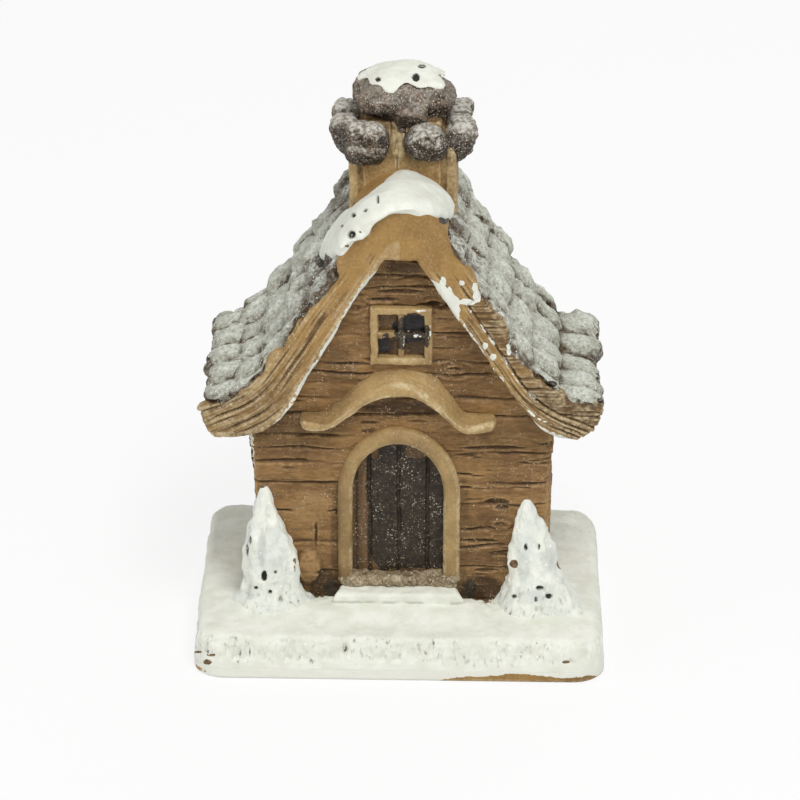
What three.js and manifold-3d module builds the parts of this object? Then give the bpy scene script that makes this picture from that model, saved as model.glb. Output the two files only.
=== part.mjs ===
// A miniature winter cottage as sold for a Christmas village: planked walls, a bell-cast tiled
// roof, a round-headed door under a curved hood, a stone-capped chimney and two snowy firs.
// Millimetres, +Z up. The door faces -Y and the origin is under the middle of the base.
import * as THREE from "three";
import { mergeVertices } from "three/addons/utils/BufferGeometryUtils.js";
import Module from "manifold-3d";

const wasm = await Module();
wasm.setup();

// Gap between a piece and the curved or cut seat that carries it.
const clearance = 0.2;

// Base: a resin plinth under a layer of modelled snow. Its right side runs in towards the rear.
const baseWidth = 45;
const baseDepth = 33.9;
const baseRearNarrowing = 0.8;
const baseCornerRadius = 3.6;
const plinthHeight = 1.2;
const plinthChamfer = 0.3;
const snowEdgeHeight = 5.2;
const snowHouseHeight = 5.9;
const snowBankWidth = 5.2;
const snowEdgeRound = 1.5;
const houseSocketFloor = 4;

// Walls: a solid core with one planked skin on each side.
const houseDepth = 19.8;
const houseCentreY = 1.65;
const houseWidthAtFoot = 30.4;
const houseWidthAtEave = 33.2;
const skinThickness = 1.6;
const plankHeight = 2.7;
const plankHeightVariation = 0.16;
const plankGrooveDepth = 0.4;
const plankGrooveWidth = 0.5;

// Roof: each side runs in from the eave, turns through a bell-cast curve and climbs to a round ridge.
const roofHalfSpan = 21.7;
const eaveHeight = 29.3;
const eaveSlope = THREE.MathUtils.degToRad(22);
const eaveRun = 3.4;
const bellRadius = 8.6;
const roofSlope = THREE.MathUtils.degToRad(57);
const ridgeRadius = 4.88;
const deckDepthInRoof = 0.9;
const deckThickness = 1.7;
const frontOverhang = 2.2;
const rearOverhang = 2.2;

// Bargeboards close the ends of the roof.
const boardThickness = 2;
const boardWidth = 3;
const boardEndWidth = 3.9;
const boardBevel = 0.7;
const boardApexHeight = 47.1;
const boardEndInset = 0.3;
const boardEndLean = 0.3;

// Tiles: lapped courses, each laid across the whole depth of the roof.
const courseCount = 6;
const courseExposure = 4.35;
const courseLap = 1.5;
const tileWidth = 5.3;
const tileTailThickness = 0.45;
const tileButtHeight = 1.3;
const tileOverhang = 0.35;
const tileCornerCut = 0.9;
const tileLengthVariation = 0.22;
const tileRiseVariation = 0.14;
const tileGrooveAtButt = 0.45;
const tileGrooveAtTail = 0.85;
const tileCrown = 0.12;
const tileNose = 0.45;
const ridgeCapRise = 0.8;

// Door, its frame, sill and step.
const doorCentreX = -0.15;
const doorOpeningWidth = 9.3;
const doorOpeningHeight = 16;
const doorArchRise = 5;
const doorFrameWidth = 2;
const doorFrameProjection = 0.95;
const doorLeafThickness = 0.8;
const doorPlankCount = 4;
const doorGrooveDepth = 0.3;
const sillTopHeight = 8.5;
const sillThickness = 1.2;
const sillWidth = 13.6;
const sillProjection = 1.3;
const stepWidth = 15.8;
const stepDepth = 2.2;
const stepTopHeight = 7.1;
const stepSocketFloor = 4.6;

// Hood: a plank bent over the door, with level tails.
const hoodCentreX = -0.3;
const hoodHalfWidth = 10.6;
const hoodArchHalfWidth = 6.9;
const hoodTailHeight = 26.5;
const hoodArchRise = 4.6;
const hoodArchFullness = 0.8;
const hoodThickness = 1.75;
const hoodProjection = 2.1;

// Window in the gable.
const windowCentreX = 0.1;
const windowCentreHeight = 37.6;
const windowFrameSize = 6.6;
const windowOpeningSize = 5;
const windowFrameProjection = 0.6;
const windowBarWidth = 0.7;
const windowBarThickness = 0.65;
const windowBarSetBack = 0.25;
const paneThickness = 1.1;

// Chimney: a grooved stack with a collar of stones, a domed cap and snow.
const chimneyWidth = 11.6;
const chimneyDepth = 10.6;
const chimneyCentreY = 5.15;
const chimneyTopHeight = 57.2;
const chimneyCornerCut = 0.5;
const chimneyPostWidth = 1.5;
const chimneyGroove = 0.45;
const stoneWidth = 4.5;
const stoneHeight = 4.9;
const stoneProjection = 1.7;
const stoneCentreHeight = 56.3;
const capHeight = 4.9;
const capSnowHeight = 1;

// Snow on the front of the ridge.
const ridgeSnowThickness = 0.7;
const ridgeSnowOverhang = 0.5;
const ridgeSnowReachLeft = 11.6;
const ridgeSnowReachRight = 6;
// Shares of the way from its front edge to the chimney at which the snow starts and ends, at even
// places from its left tip over the ridge to its right tip.
const ridgeSnowStarts = [0.42, 0.3, 0.14, 0, 0, 0, 0, 0, 0, 0.03, 0.14, 0.38, 0.66];
const ridgeSnowEnds = [0.6, 0.9, 0.88, 0.84, 0.62, 0.56, 0.72, 1, 0.98, 0.9, 0.88, 0.86, 0.84];

// Firs, centred on the front face of the walls near its two corners.
const treeHeightLeft = 14.8;
const treeHeightRight = 13.8;
const treeRadius = 4.4;
const treeDepthShare = 0.78;
const treeCornerInset = 1.85;
const treesShift = 0.55;
const treeLean = -1;
const treeSocketFloor = 4.6;

const houseFront = houseCentreY - houseDepth / 2;
const houseRear = houseCentreY + houseDepth / 2;
const coreFront = houseFront + skinThickness;
const coreRear = houseRear - skinThickness;
const coreHalfWidth = houseWidthAtFoot / 2 - skinThickness;
const roofFront = houseFront - frontOverhang;
const roofRear = houseRear + rearOverhang;
const deckFront = roofFront + boardThickness;
const deckRear = roofRear - boardThickness;
const chimneyFront = chimneyCentreY - chimneyDepth / 2;
const chimneyRear = chimneyCentreY + chimneyDepth / 2;
const deckUnderside = deckDepthInRoof + deckThickness;
const ridgeCapStart = courseCount * courseExposure;

// Materials.
const material = (color, roughness) => new THREE.MeshStandardMaterial({ color, roughness, metalness: 0 });
const woodFinish = material(0x8c6a3f, 0.62);
const trimFinish = material(0xa98650, 0.55);
const doorFinish = material(0x3b302b, 0.6);
const glassFinish = material(0x3a3540, 0.35);
const tileFinish = material(0x9a9c90, 0.75);
const stoneFinish = material(0x5c5049, 0.7);
const snowFinish = material(0xe9ebe1, 0.7);

const house = new THREE.Group();

function addPiece(name, geometry, finish) {
  const mesh = new THREE.Mesh(geometry, finish);
  mesh.name = name;
  house.add(mesh);
  return mesh;
}

// Repeatable variation between -1 and 1 for hand-made irregularity.
function variation(seed) {
  const wave = Math.sin(seed * 12.9898 + 4.1) * 43758.5453;
  return 2 * (wave - Math.floor(wave)) - 1;
}

// Solids and booleans.
function solidOf(geometry) {
  const bare = geometry.clone();
  bare.deleteAttribute("normal");
  bare.deleteAttribute("uv");
  const merged = mergeVertices(bare, 1e-4);
  const mesh = new wasm.Mesh({
    numProp: 3,
    vertProperties: merged.attributes.position.array,
    triVerts: new Uint32Array(merged.index.array),
  });
  return new wasm.Manifold(mesh);
}

function geometryOf(solid) {
  const mesh = solid.getMesh();
  const geometry = new THREE.BufferGeometry();
  geometry.setAttribute("position", new THREE.BufferAttribute(new Float32Array(mesh.vertProperties), 3));
  geometry.setIndex(new THREE.BufferAttribute(new Uint32Array(mesh.triVerts), 1));
  return geometry;
}

function cut(geometry, ...tools) {
  return geometryOf(tools.reduce((solid, tool) => solid.subtract(solidOf(tool)), solidOf(geometry)));
}

function common(first, second) {
  return geometryOf(solidOf(first).intersect(solidOf(second)));
}

// A closed mesh from points and triangles, turned to face out.
function closedMesh(points, triangles) {
  let volume = 0;
  for (const [a, b, c] of triangles) volume += points[a].dot(points[b].clone().cross(points[c]));
  const faces = volume < 0 ? triangles.map(([a, b, c]) => [a, c, b]) : triangles;
  const geometry = new THREE.BufferGeometry().setFromPoints(points);
  geometry.setIndex(faces.flat());
  return geometry;
}

// The slab between two grids of points with the same rows and columns.
function slab(top, bottom) {
  const rows = top.length;
  const columns = top[0].length;
  const points = [...top.flat(), ...bottom.flat()];
  const upper = (row, column) => row * columns + column;
  const lower = (row, column) => rows * columns + upper(row, column);
  const triangles = [];
  const quad = (a, b, c, d) => triangles.push([a, b, c], [a, c, d]);
  for (let row = 0; row + 1 < rows; row++) {
    for (let column = 0; column + 1 < columns; column++) {
      quad(upper(row, column), upper(row, column + 1), upper(row + 1, column + 1), upper(row + 1, column));
      quad(lower(row, column), lower(row + 1, column), lower(row + 1, column + 1), lower(row, column + 1));
    }
    quad(lower(row, 0), upper(row, 0), upper(row + 1, 0), lower(row + 1, 0));
    const last = columns - 1;
    quad(upper(row, last), lower(row, last), lower(row + 1, last), upper(row + 1, last));
  }
  for (let column = 0; column + 1 < columns; column++) {
    quad(upper(0, column), lower(0, column), lower(0, column + 1), upper(0, column + 1));
    const last = rows - 1;
    quad(lower(last, column), upper(last, column), upper(last, column + 1), lower(last, column + 1));
  }
  return closedMesh(points, triangles);
}

// A skin through closed loops of equal length, with flat ends.
function loft(loops, flatten = (point) => [point.x, point.y]) {
  const count = loops[0].length;
  const points = loops.flat();
  const triangles = [];
  for (let loop = 0; loop + 1 < loops.length; loop++) {
    for (let i = 0; i < count; i++) {
      const next = (i + 1) % count;
      const a = loop * count + i;
      const b = loop * count + next;
      triangles.push([a, b, b + count], [a, b + count, a + count]);
    }
  }
  const outline = (loop) => loop.map((point) => new THREE.Vector2(...flatten(point)));
  const firstCap = THREE.ShapeUtils.triangulateShape(outline(loops[0]), []);
  const lastCap = THREE.ShapeUtils.triangulateShape(outline(loops[loops.length - 1]), []);
  const windsForward = THREE.ShapeUtils.area(outline(loops[0])) > 0;
  const offset = (loops.length - 1) * count;
  for (const [a, b, c] of firstCap) triangles.push(windsForward ? [a, c, b] : [a, b, c]);
  for (const [a, b, c] of lastCap) {
    const turned = [a + offset, b + offset, c + offset];
    triangles.push(windsForward ? turned : [turned[0], turned[2], turned[1]]);
  }
  return closedMesh(points, triangles);
}

// Outlines swept along one axis of the model.
const shapeOf = (pairs) => new THREE.Shape(pairs.map(([a, b]) => new THREE.Vector2(a, b)));

function alongY(shape, start, end, settings = {}) {
  const geometry = new THREE.ExtrudeGeometry(shape, { depth: end - start, bevelEnabled: false, ...settings });
  return geometry.rotateX(Math.PI / 2).translate(0, end, 0);
}

function alongX(shape, start, end) {
  const geometry = new THREE.ExtrudeGeometry(shape, { depth: end - start, bevelEnabled: false });
  const turn = new THREE.Matrix4().makeBasis(
    new THREE.Vector3(0, 1, 0),
    new THREE.Vector3(0, 0, 1),
    new THREE.Vector3(1, 0, 0),
  );
  return geometry.applyMatrix4(turn).translate(start, 0, 0);
}

function alongZ(shape, start, end) {
  const geometry = new THREE.ExtrudeGeometry(shape, { depth: end - start, bevelEnabled: false });
  return geometry.translate(0, 0, start);
}

// An extrusion with softened front and rear edges that keeps the outline's size.
function softened(shape, start, end, edge) {
  const settings = {
    bevelEnabled: true,
    bevelSize: edge,
    bevelOffset: -edge,
    bevelThickness: edge,
    bevelSegments: 1,
    curveSegments: 10,
  };
  return alongY(shape, start + edge, end - edge, settings);
}

const block = (x0, x1, y0, y1, z0, z1) =>
  new THREE.BoxGeometry(x1 - x0, y1 - y0, z1 - z0).translate((x0 + x1) / 2, (y0 + y1) / 2, (z0 + z1) / 2);

// Roof profile. A station is the distance along the roof from the eave, and an inset is the
// distance below the mean tiled surface. Points are [x, z] on the right-hand side.
const outward = (angle) => [Math.sin(angle), Math.cos(angle)];
const bellStart = eaveRun;
const bellLength = bellRadius * (roofSlope - eaveSlope);
const bellCentre = (() => {
  const [nx, nz] = outward(eaveSlope);
  const x = roofHalfSpan - eaveRun * Math.cos(eaveSlope);
  const z = eaveHeight + eaveRun * Math.sin(eaveSlope);
  return [x + nx * bellRadius, z + nz * bellRadius];
})();
const slopeStart = bellStart + bellLength;
const slopeFoot = outward(roofSlope).map((n, i) => bellCentre[i] - n * bellRadius);
const slopeLength = (slopeFoot[0] - ridgeRadius * Math.sin(roofSlope)) / Math.cos(roofSlope);
const ridgeStart = slopeStart + slopeLength;
const ridgeCentreHeight =
  slopeFoot[1] + slopeLength * Math.sin(roofSlope) - ridgeRadius * Math.cos(roofSlope);
const roofLength = ridgeStart + ridgeRadius * roofSlope;

function roofPoint(station, inset) {
  if (station <= bellStart) {
    const [nx, nz] = outward(eaveSlope);
    const x = roofHalfSpan - station * Math.cos(eaveSlope);
    const z = eaveHeight + station * Math.sin(eaveSlope);
    return [x - nx * inset, z - nz * inset];
  }
  if (station <= slopeStart) {
    const [nx, nz] = outward(eaveSlope + (station - bellStart) / bellRadius);
    return [bellCentre[0] - nx * (bellRadius + inset), bellCentre[1] - nz * (bellRadius + inset)];
  }
  if (station <= ridgeStart) {
    const [nx, nz] = outward(roofSlope);
    const climb = station - slopeStart;
    const x = slopeFoot[0] - climb * Math.cos(roofSlope);
    const z = slopeFoot[1] + climb * Math.sin(roofSlope);
    return [x - nx * inset, z - nz * inset];
  }
  const [nx, nz] = outward(roofSlope - (station - ridgeStart) / ridgeRadius);
  return [nx * (ridgeRadius - inset), ridgeCentreHeight + nz * (ridgeRadius - inset)];
}

// Stations from a start through the bell-cast curve to the foot of the straight slope.
function bellStations(from) {
  const steps = 5;
  const curve = [];
  for (let i = 0; i <= steps; i++) curve.push(bellStart + (bellLength * i) / steps);
  return [from, ...curve];
}

// Points of the roof line between two stations: only the curves are divided.
function roofLine(inset, from, to) {
  const ridgeSteps = 4;
  const stations = bellStations(from);
  for (let i = 0; i <= ridgeSteps; i++) stations.push(ridgeStart + ((roofLength - ridgeStart) * i) / ridgeSteps);
  const inside = stations.filter((station) => station > from + 1e-6 && station < to - 1e-6);
  return [from, ...inside, to].map((station) => roofPoint(station, inset));
}

// The station where the roof line at an inset passes a given x.
function stationAt(x, inset) {
  let low = 0;
  let high = roofLength;
  for (let i = 0; i < 50; i++) {
    const middle = (low + high) / 2;
    if (roofPoint(middle, inset)[0] > x) low = middle;
    else high = middle;
  }
  return low;
}

// A right-hand line of [x, z] points and its mirror image, as one outline from right to left.
const mirroredLine = (line) => [...line, ...line.filter(([x]) => x > 1e-4).map(([x, z]) => [-x, z]).reverse()];

// Everything under the roof line at an inset, down to a given height.
function underRoof(inset, floorHeight, growth = 0) {
  const foot = [houseWidthAtFoot / 2 + growth, floorHeight];
  const eaveStation = stationAt(houseWidthAtEave / 2 + growth, inset);
  return shapeOf(mirroredLine([foot, ...roofLine(inset, eaveStation, roofLength)]));
}

// Walls. The side walls lean out: how far they move between the socket floor and a height.
function wallLean(height) {
  const [, eaveZ] = roofPoint(stationAt(houseWidthAtEave / 2, deckUnderside + clearance), deckUnderside + clearance);
  return ((houseWidthAtEave - houseWidthAtFoot) / 2) * ((height - houseSocketFloor) / (eaveZ - houseSocketFloor));
}

const wallOutline = underRoof(deckUnderside + clearance, houseSocketFloor);
const plankJoints = () => {
  const joints = [];
  let z = houseSocketFloor + plankHeight;
  while (z < ridgeCentreHeight + ridgeRadius) {
    joints.push(z);
    z += plankHeight * (1 + plankHeightVariation * variation(joints.length));
  }
  return joints;
};

// The grooved edge of planking from bottom to top, as [depth, z] pairs below the face.
function plankedEdge(bottom, top) {
  const edge = [[0, bottom]];
  for (const joint of plankJoints()) {
    if (joint > bottom + plankGrooveWidth && joint < top - plankGrooveWidth) {
      edge.push([0, joint - plankGrooveWidth / 2], [plankGrooveDepth, joint], [0, joint + plankGrooveWidth / 2]);
    }
  }
  edge.push([0, top]);
  return edge;
}

function gableSkin(facePlane, corePlane) {
  const inwards = Math.sign(corePlane - facePlane);
  const top = ridgeCentreHeight + ridgeRadius;
  const face = plankedEdge(houseSocketFloor, top).map(([depth, z]) => [facePlane + inwards * depth, z]);
  const planking = shapeOf([[corePlane, houseSocketFloor], ...face, [corePlane, top]]);
  const sheet = alongX(planking, -houseWidthAtEave / 2 - 1, houseWidthAtEave / 2 + 1);
  const front = Math.min(facePlane, corePlane) - 1;
  const rear = Math.max(facePlane, corePlane) + 1;
  return common(sheet, alongY(wallOutline, front, rear));
}

function sideSkin(side) {
  const eaveStation = stationAt(houseWidthAtEave / 2, deckUnderside + clearance);
  const coreStation = stationAt(coreHalfWidth, deckUnderside + clearance);
  const roofEdge = roofLine(deckUnderside + clearance, eaveStation, coreStation);
  const eaveZ = roofEdge[0][1];
  const face = plankedEdge(houseSocketFloor, eaveZ).map(([depth, z]) => [
    houseWidthAtFoot / 2 + wallLean(z) - depth,
    z,
  ]);
  const outline = [...face, ...roofEdge.slice(1), [coreHalfWidth, houseSocketFloor]];
  return alongY(shapeOf(outline.map(([x, z]) => [side * x, z])), coreFront, coreRear);
}

function houseCore() {
  const coreStation = stationAt(coreHalfWidth, deckUnderside + clearance);
  const roofEdge = roofLine(deckUnderside + clearance, coreStation, roofLength);
  const outline = mirroredLine([[coreHalfWidth, houseSocketFloor], ...roofEdge]);
  return alongY(shapeOf(outline), coreFront, coreRear);
}

// Door.
function archOutline(halfWidth, bottom, top, rise) {
  const shape = new THREE.Shape();
  shape.moveTo(doorCentreX - halfWidth, bottom);
  shape.lineTo(doorCentreX + halfWidth, bottom);
  shape.lineTo(doorCentreX + halfWidth, top - rise);
  shape.absellipse(doorCentreX, top - rise, halfWidth, rise, 0, Math.PI);
  shape.closePath();
  return shape;
}

const doorTop = sillTopHeight + doorOpeningHeight;
const doorHalfWidth = doorOpeningWidth / 2;

function doorFrame() {
  const outerHalf = doorHalfWidth + doorFrameWidth;
  const outerTop = doorTop + doorFrameWidth;
  const outerRise = doorArchRise + doorFrameWidth;
  const shape = new THREE.Shape();
  shape.moveTo(doorCentreX + doorHalfWidth, sillTopHeight);
  shape.lineTo(doorCentreX + outerHalf, sillTopHeight);
  shape.lineTo(doorCentreX + outerHalf, outerTop - outerRise);
  shape.absellipse(doorCentreX, outerTop - outerRise, outerHalf, outerRise, 0, Math.PI);
  shape.lineTo(doorCentreX - outerHalf, sillTopHeight);
  shape.lineTo(doorCentreX - doorHalfWidth, sillTopHeight);
  shape.lineTo(doorCentreX - doorHalfWidth, doorTop - doorArchRise);
  shape.absellipse(doorCentreX, doorTop - doorArchRise, doorHalfWidth, doorArchRise, Math.PI, 0, true);
  shape.closePath();
  return softened(shape, houseFront - doorFrameProjection, houseFront, 0.25);
}

function doorLeaf() {
  const half = doorHalfWidth - clearance / 2;
  const rear = coreFront;
  const front = rear - doorLeafThickness;
  const outline = [[half, rear], [-half, rear], [-half, front]];
  for (let i = 1; i < doorPlankCount; i++) {
    const x = -half + (2 * half * i) / doorPlankCount;
    outline.push([x - doorGrooveDepth, front], [x, front + doorGrooveDepth], [x + doorGrooveDepth, front]);
  }
  outline.push([half, front]);
  const planks = alongZ(shapeOf(outline.map(([x, y]) => [x + doorCentreX, y])), sillTopHeight - 1, doorTop + 1);
  const arch = archOutline(half, sillTopHeight + clearance / 2, doorTop - clearance / 2, doorArchRise);
  return common(planks, alongY(arch, front - 1, rear + 1, { curveSegments: 10 }));
}

function doorSill() {
  const front = houseFront - sillProjection;
  const bottom = sillTopHeight - sillThickness;
  const nose = sillThickness * 0.3;
  const profile = [[houseFront, bottom], [houseFront, sillTopHeight], [front + nose, sillTopHeight]];
  profile.push([front, sillTopHeight - nose], [front, bottom + nose], [front + nose, bottom]);
  return alongX(shapeOf(profile), doorCentreX - sillWidth / 2, doorCentreX + sillWidth / 2);
}

function stepOutline(growth) {
  const half = stepWidth / 2 + growth;
  const front = houseFront - clearance - stepDepth - growth;
  const rear = houseFront - clearance + growth;
  const corner = 0.8;
  const outline = [[-half, rear], [-half, front + corner], [-half + corner, front]];
  outline.push([half - corner, front], [half, front + corner], [half, rear]);
  return outline.map(([x, y]) => [x + doorCentreX, y]);
}

function doorStep() {
  const edge = 0.35;
  const at = (inset, z) => {
    const centre = houseFront - clearance - stepDepth / 2;
    return stepOutline(0).map(([x, y]) => {
      const dx = x - doorCentreX;
      return new THREE.Vector3(x - Math.sign(dx) * inset, y - Math.sign(y - centre) * inset, z);
    });
  };
  return loft([at(0, stepSocketFloor), at(0, stepTopHeight - edge), at(edge, stepTopHeight)]);
}

// Hood: a level tail, a full arch over the door, and a level tail.
function doorHood() {
  const steps = 12;
  const swell = (x) => {
    if (Math.abs(x) >= hoodArchHalfWidth) return 0;
    return hoodArchRise * Math.cos((Math.PI * x) / (2 * hoodArchHalfWidth)) ** hoodArchFullness;
  };
  const stations = [-hoodHalfWidth];
  for (let i = 0; i <= steps; i++) stations.push(hoodArchHalfWidth * ((2 * i) / steps - 1));
  stations.push(hoodHalfWidth);
  const lower = stations.map((x) => [x, hoodTailHeight + swell(x)]);
  const upper = stations.map((x) => [x, hoodTailHeight + hoodThickness + swell(x)]).reverse();
  const shape = shapeOf([...lower, ...upper].map(([x, z]) => [x + hoodCentreX, z]));
  return softened(shape, houseFront - hoodProjection, houseFront, 0.2);
}

// Window.
const squareOutline = (size) => {
  const half = size / 2;
  return [[-half, -half], [half, -half], [half, half], [-half, half]].map(([x, z]) => [
    x + windowCentreX,
    z + windowCentreHeight,
  ]);
};

function windowFrame() {
  const shape = shapeOf(squareOutline(windowFrameSize));
  shape.holes.push(new THREE.Path(squareOutline(windowOpeningSize).map(([x, z]) => new THREE.Vector2(x, z))));
  return softened(shape, houseFront - windowFrameProjection, houseFront, 0.15);
}

function windowBars() {
  const reach = windowOpeningSize / 2 - clearance / 2;
  const half = windowBarWidth / 2;
  const quarter = [[reach, -half], [reach, half], [half, half]];
  const turned = (turns) => quarter.map(([x, z]) => {
    const angle = (turns * Math.PI) / 2;
    return [x * Math.cos(angle) - z * Math.sin(angle), x * Math.sin(angle) + z * Math.cos(angle)];
  });
  const outline = [0, 1, 2, 3].flatMap(turned).map(([x, z]) => [x + windowCentreX, z + windowCentreHeight]);
  const front = houseFront - windowFrameProjection + windowBarSetBack;
  return alongY(shapeOf(outline), front, front + windowBarThickness);
}

function windowPanes() {
  const shape = shapeOf(squareOutline(windowOpeningSize - clearance));
  return alongY(shape, coreFront - paneThickness, coreFront);
}

// Bargeboards: they follow the roof line, meet at a mitre and have a bevelled lower edge.
function bargeboard(side, outerPlane, innerPlane) {
  const outline = (bevel) => {
    const upper = roofLine(deckDepthInRoof, boardEndInset, roofLength);
    const lower = bellStations(boardEndInset + boardEndLean).map((station) => {
      const width = THREE.MathUtils.lerp(boardEndWidth, boardWidth, station / slopeStart);
      return roofPoint(station, deckDepthInRoof + width - bevel);
    });
    const [x, z] = lower[lower.length - 1];
    const meet = x - (boardApexHeight - z) / Math.tan(roofSlope);
    return [...upper, [0, boardApexHeight], [meet, boardApexHeight], ...lower.reverse()];
  };
  const into = Math.sign(innerPlane - outerPlane);
  const loop = (bevel, y) => outline(bevel).map(([x, z]) => new THREE.Vector3(side * x, y, z));
  const loops = [loop(boardBevel, outerPlane), loop(0, outerPlane + into * boardBevel), loop(0, innerPlane)];
  return loft(loops, (point) => [point.x, point.z]);
}

// Roof decks.
function roofDeck(side) {
  const upper = roofLine(deckDepthInRoof, boardEndInset / 2, roofLength);
  const lower = roofLine(deckUnderside, boardEndInset / 2, roofLength).reverse();
  return alongY(shapeOf([...upper, ...lower].map(([x, z]) => [side * x, z])), deckFront, deckRear);
}

// One course of lapped tiles: a relief of wedge-shaped tiles with rounded tails, whose underside
// steps over the tails of the course below.
function tileCourse(side, course) {
  const start = course * courseExposure - (course === 0 ? tileOverhang : 0);
  const end = (course + 1) * courseExposure + courseLap;
  const front = roofFront - tileOverhang;
  const rear = roofRear + tileOverhang;
  const stagger = (course + (side > 0 ? 0 : 1)) % 2 === 0 ? 0 : 0.5;
  const tiles = Math.round((rear - front) / tileWidth);
  const width = (rear - front) / tiles;
  const acrossTile = [-1, -0.62, 0, 0.62];
  const columns = [];
  for (let tile = 0; tile <= tiles; tile++) {
    for (const across of acrossTile) {
      const y = front + (tile - stagger + (across + 1) / 2) * width;
      if (y > front + 0.2 && y < rear - 0.2) columns.push({ y, across, tile });
    }
  }
  const edgeTile = (y, tile) => ({ y, across: stagger ? 0 : -1, tile });
  columns.unshift(edgeTile(front, 0));
  columns.push(edgeTile(rear, tiles));
  const underLap = start + courseLap + clearance;
  const stepHeight = course === 0 ? clearance : tileTailThickness + clearance;
  const point = (station, height, y) => {
    const [x, z] = roofPoint(station, deckDepthInRoof - height);
    return new THREE.Vector3(side * x, y, z);
  };
  const shares = [0, 0.1, 0.42, 0.72, 1];
  const rowsOf = ({ y, across, tile }) => {
    const seed = course * 31 + tile * 7 + side * 3;
    const cornerCut = tileCornerCut * Math.abs(across) ** 3;
    const butt = start + cornerCut + tileLengthVariation * variation(seed) * (1 - Math.abs(across));
    const rise = (tileButtHeight - tileTailThickness) * (1 + tileRiseVariation * variation(seed + 0.5));
    const top = shares.map((share) => {
      const station = butt + share * (start + courseExposure - butt);
      const groove = (share < 0.3 ? tileGrooveAtButt : tileGrooveAtTail) * Math.abs(across) ** 3;
      const crown = share < 1 ? tileCrown : 0;
      const full = tileTailThickness + rise * (1 - share) * (1 - groove) + crown;
      const nose = share === 0 ? stepHeight + (full - stepHeight) * tileNose : full;
      return point(station, nose, y);
    });
    top.push(point(end, tileTailThickness, y));
    const middle = (underLap + end) / 2;
    const bottom = [point(butt, stepHeight, y), point(underLap, stepHeight, y), point(underLap, clearance, y)];
    bottom.push(point(middle, clearance, y), point((middle + end) / 2, clearance, y), point(end, clearance, y));
    return { top, bottom };
  };
  const rows = columns.map(rowsOf);
  const relief = slab(rows.map((row) => row.top), rows.map((row) => row.bottom));
  const nearRidge = course === courseCount - 1;
  return nearRidge ? cut(relief, chimneyOpening()) : relief;
}

// Ridge caps: one in front of the chimney and one behind it.
function ridgeCap(front, rear) {
  const lapEnd = ridgeCapStart + courseLap + clearance;
  const outer = roofLine(-ridgeCapRise, ridgeCapStart + 0.4, roofLength);
  const lapInset = deckDepthInRoof - tileTailThickness - clearance;
  const inner = [
    roofPoint(ridgeCapStart, lapInset),
    roofPoint(lapEnd, lapInset),
    ...roofLine(deckDepthInRoof - clearance, lapEnd, roofLength),
  ];
  const left = (line) => line.map(([x, z]) => [-x, z]);
  const across = [...outer, ...left(outer.slice(0, -1)).reverse(), ...left(inner), ...inner.slice(0, -1).reverse()];
  return alongY(shapeOf(across), front, rear);
}

// Chimney.
function chimneyOpening() {
  const halfX = chimneyWidth / 2 + clearance;
  return block(-halfX, halfX, chimneyFront - clearance, chimneyRear + clearance, eaveHeight, chimneyTopHeight);
}

function chimneyStack() {
  const halfX = chimneyWidth / 2;
  const halfY = chimneyDepth / 2;
  const quarter = [];
  const groove = (along) => [
    [along - chimneyGroove / 2, 0],
    [along, chimneyGroove],
    [along + chimneyGroove / 2, 0],
  ];
  for (const [x, depth] of groove(halfX - chimneyPostWidth)) quarter.push([x, halfY - depth]);
  quarter.push([halfX - chimneyCornerCut, halfY], [halfX, halfY - chimneyCornerCut]);
  for (const [y, depth] of groove(halfY - chimneyPostWidth).reverse()) quarter.push([halfX - depth, y]);
  const turnOver = (signX, signY, reverse) => {
    const points = quarter.map(([x, y]) => [signX * x, signY * y + chimneyCentreY]);
    return reverse ? points.reverse() : points;
  };
  const outline = [
    ...turnOver(1, 1, false),
    ...turnOver(1, -1, true),
    ...turnOver(-1, -1, false),
    ...turnOver(-1, 1, true),
  ];
  const saddleInset = deckDepthInRoof - clearance;
  const saddleLine = roofLine(saddleInset, stationAt(halfX + 1, saddleInset), roofLength);
  const [saddleX] = saddleLine[0];
  const saddle = shapeOf(mirroredLine([[saddleX, eaveHeight], ...saddleLine]));
  const shaft = alongZ(shapeOf(outline), eaveHeight + 1, chimneyTopHeight);
  return cut(shaft, alongY(saddle, chimneyFront - 1, chimneyRear + 1));
}

// A rounded stone with a flat back: local +Z points out of the wall that it is bedded on.
function stone(width, height, projection) {
  const rings = [[1, 0], [1.02, 0.35], [0.86, 0.72], [0.5, 0.95]];
  const around = 10;
  const loops = rings.map(([share, out]) => {
    const loop = [];
    for (let i = 0; i < around; i++) {
      const angle = (2 * Math.PI * i) / around;
      const square = (value) => Math.sign(value) * Math.abs(value) ** 0.72;
      const x = (share * width * square(Math.cos(angle))) / 2;
      const y = (share * height * square(Math.sin(angle))) / 2;
      loop.push(new THREE.Vector3(x, y, out * projection));
    }
    return loop;
  });
  return loft(loops);
}

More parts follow.
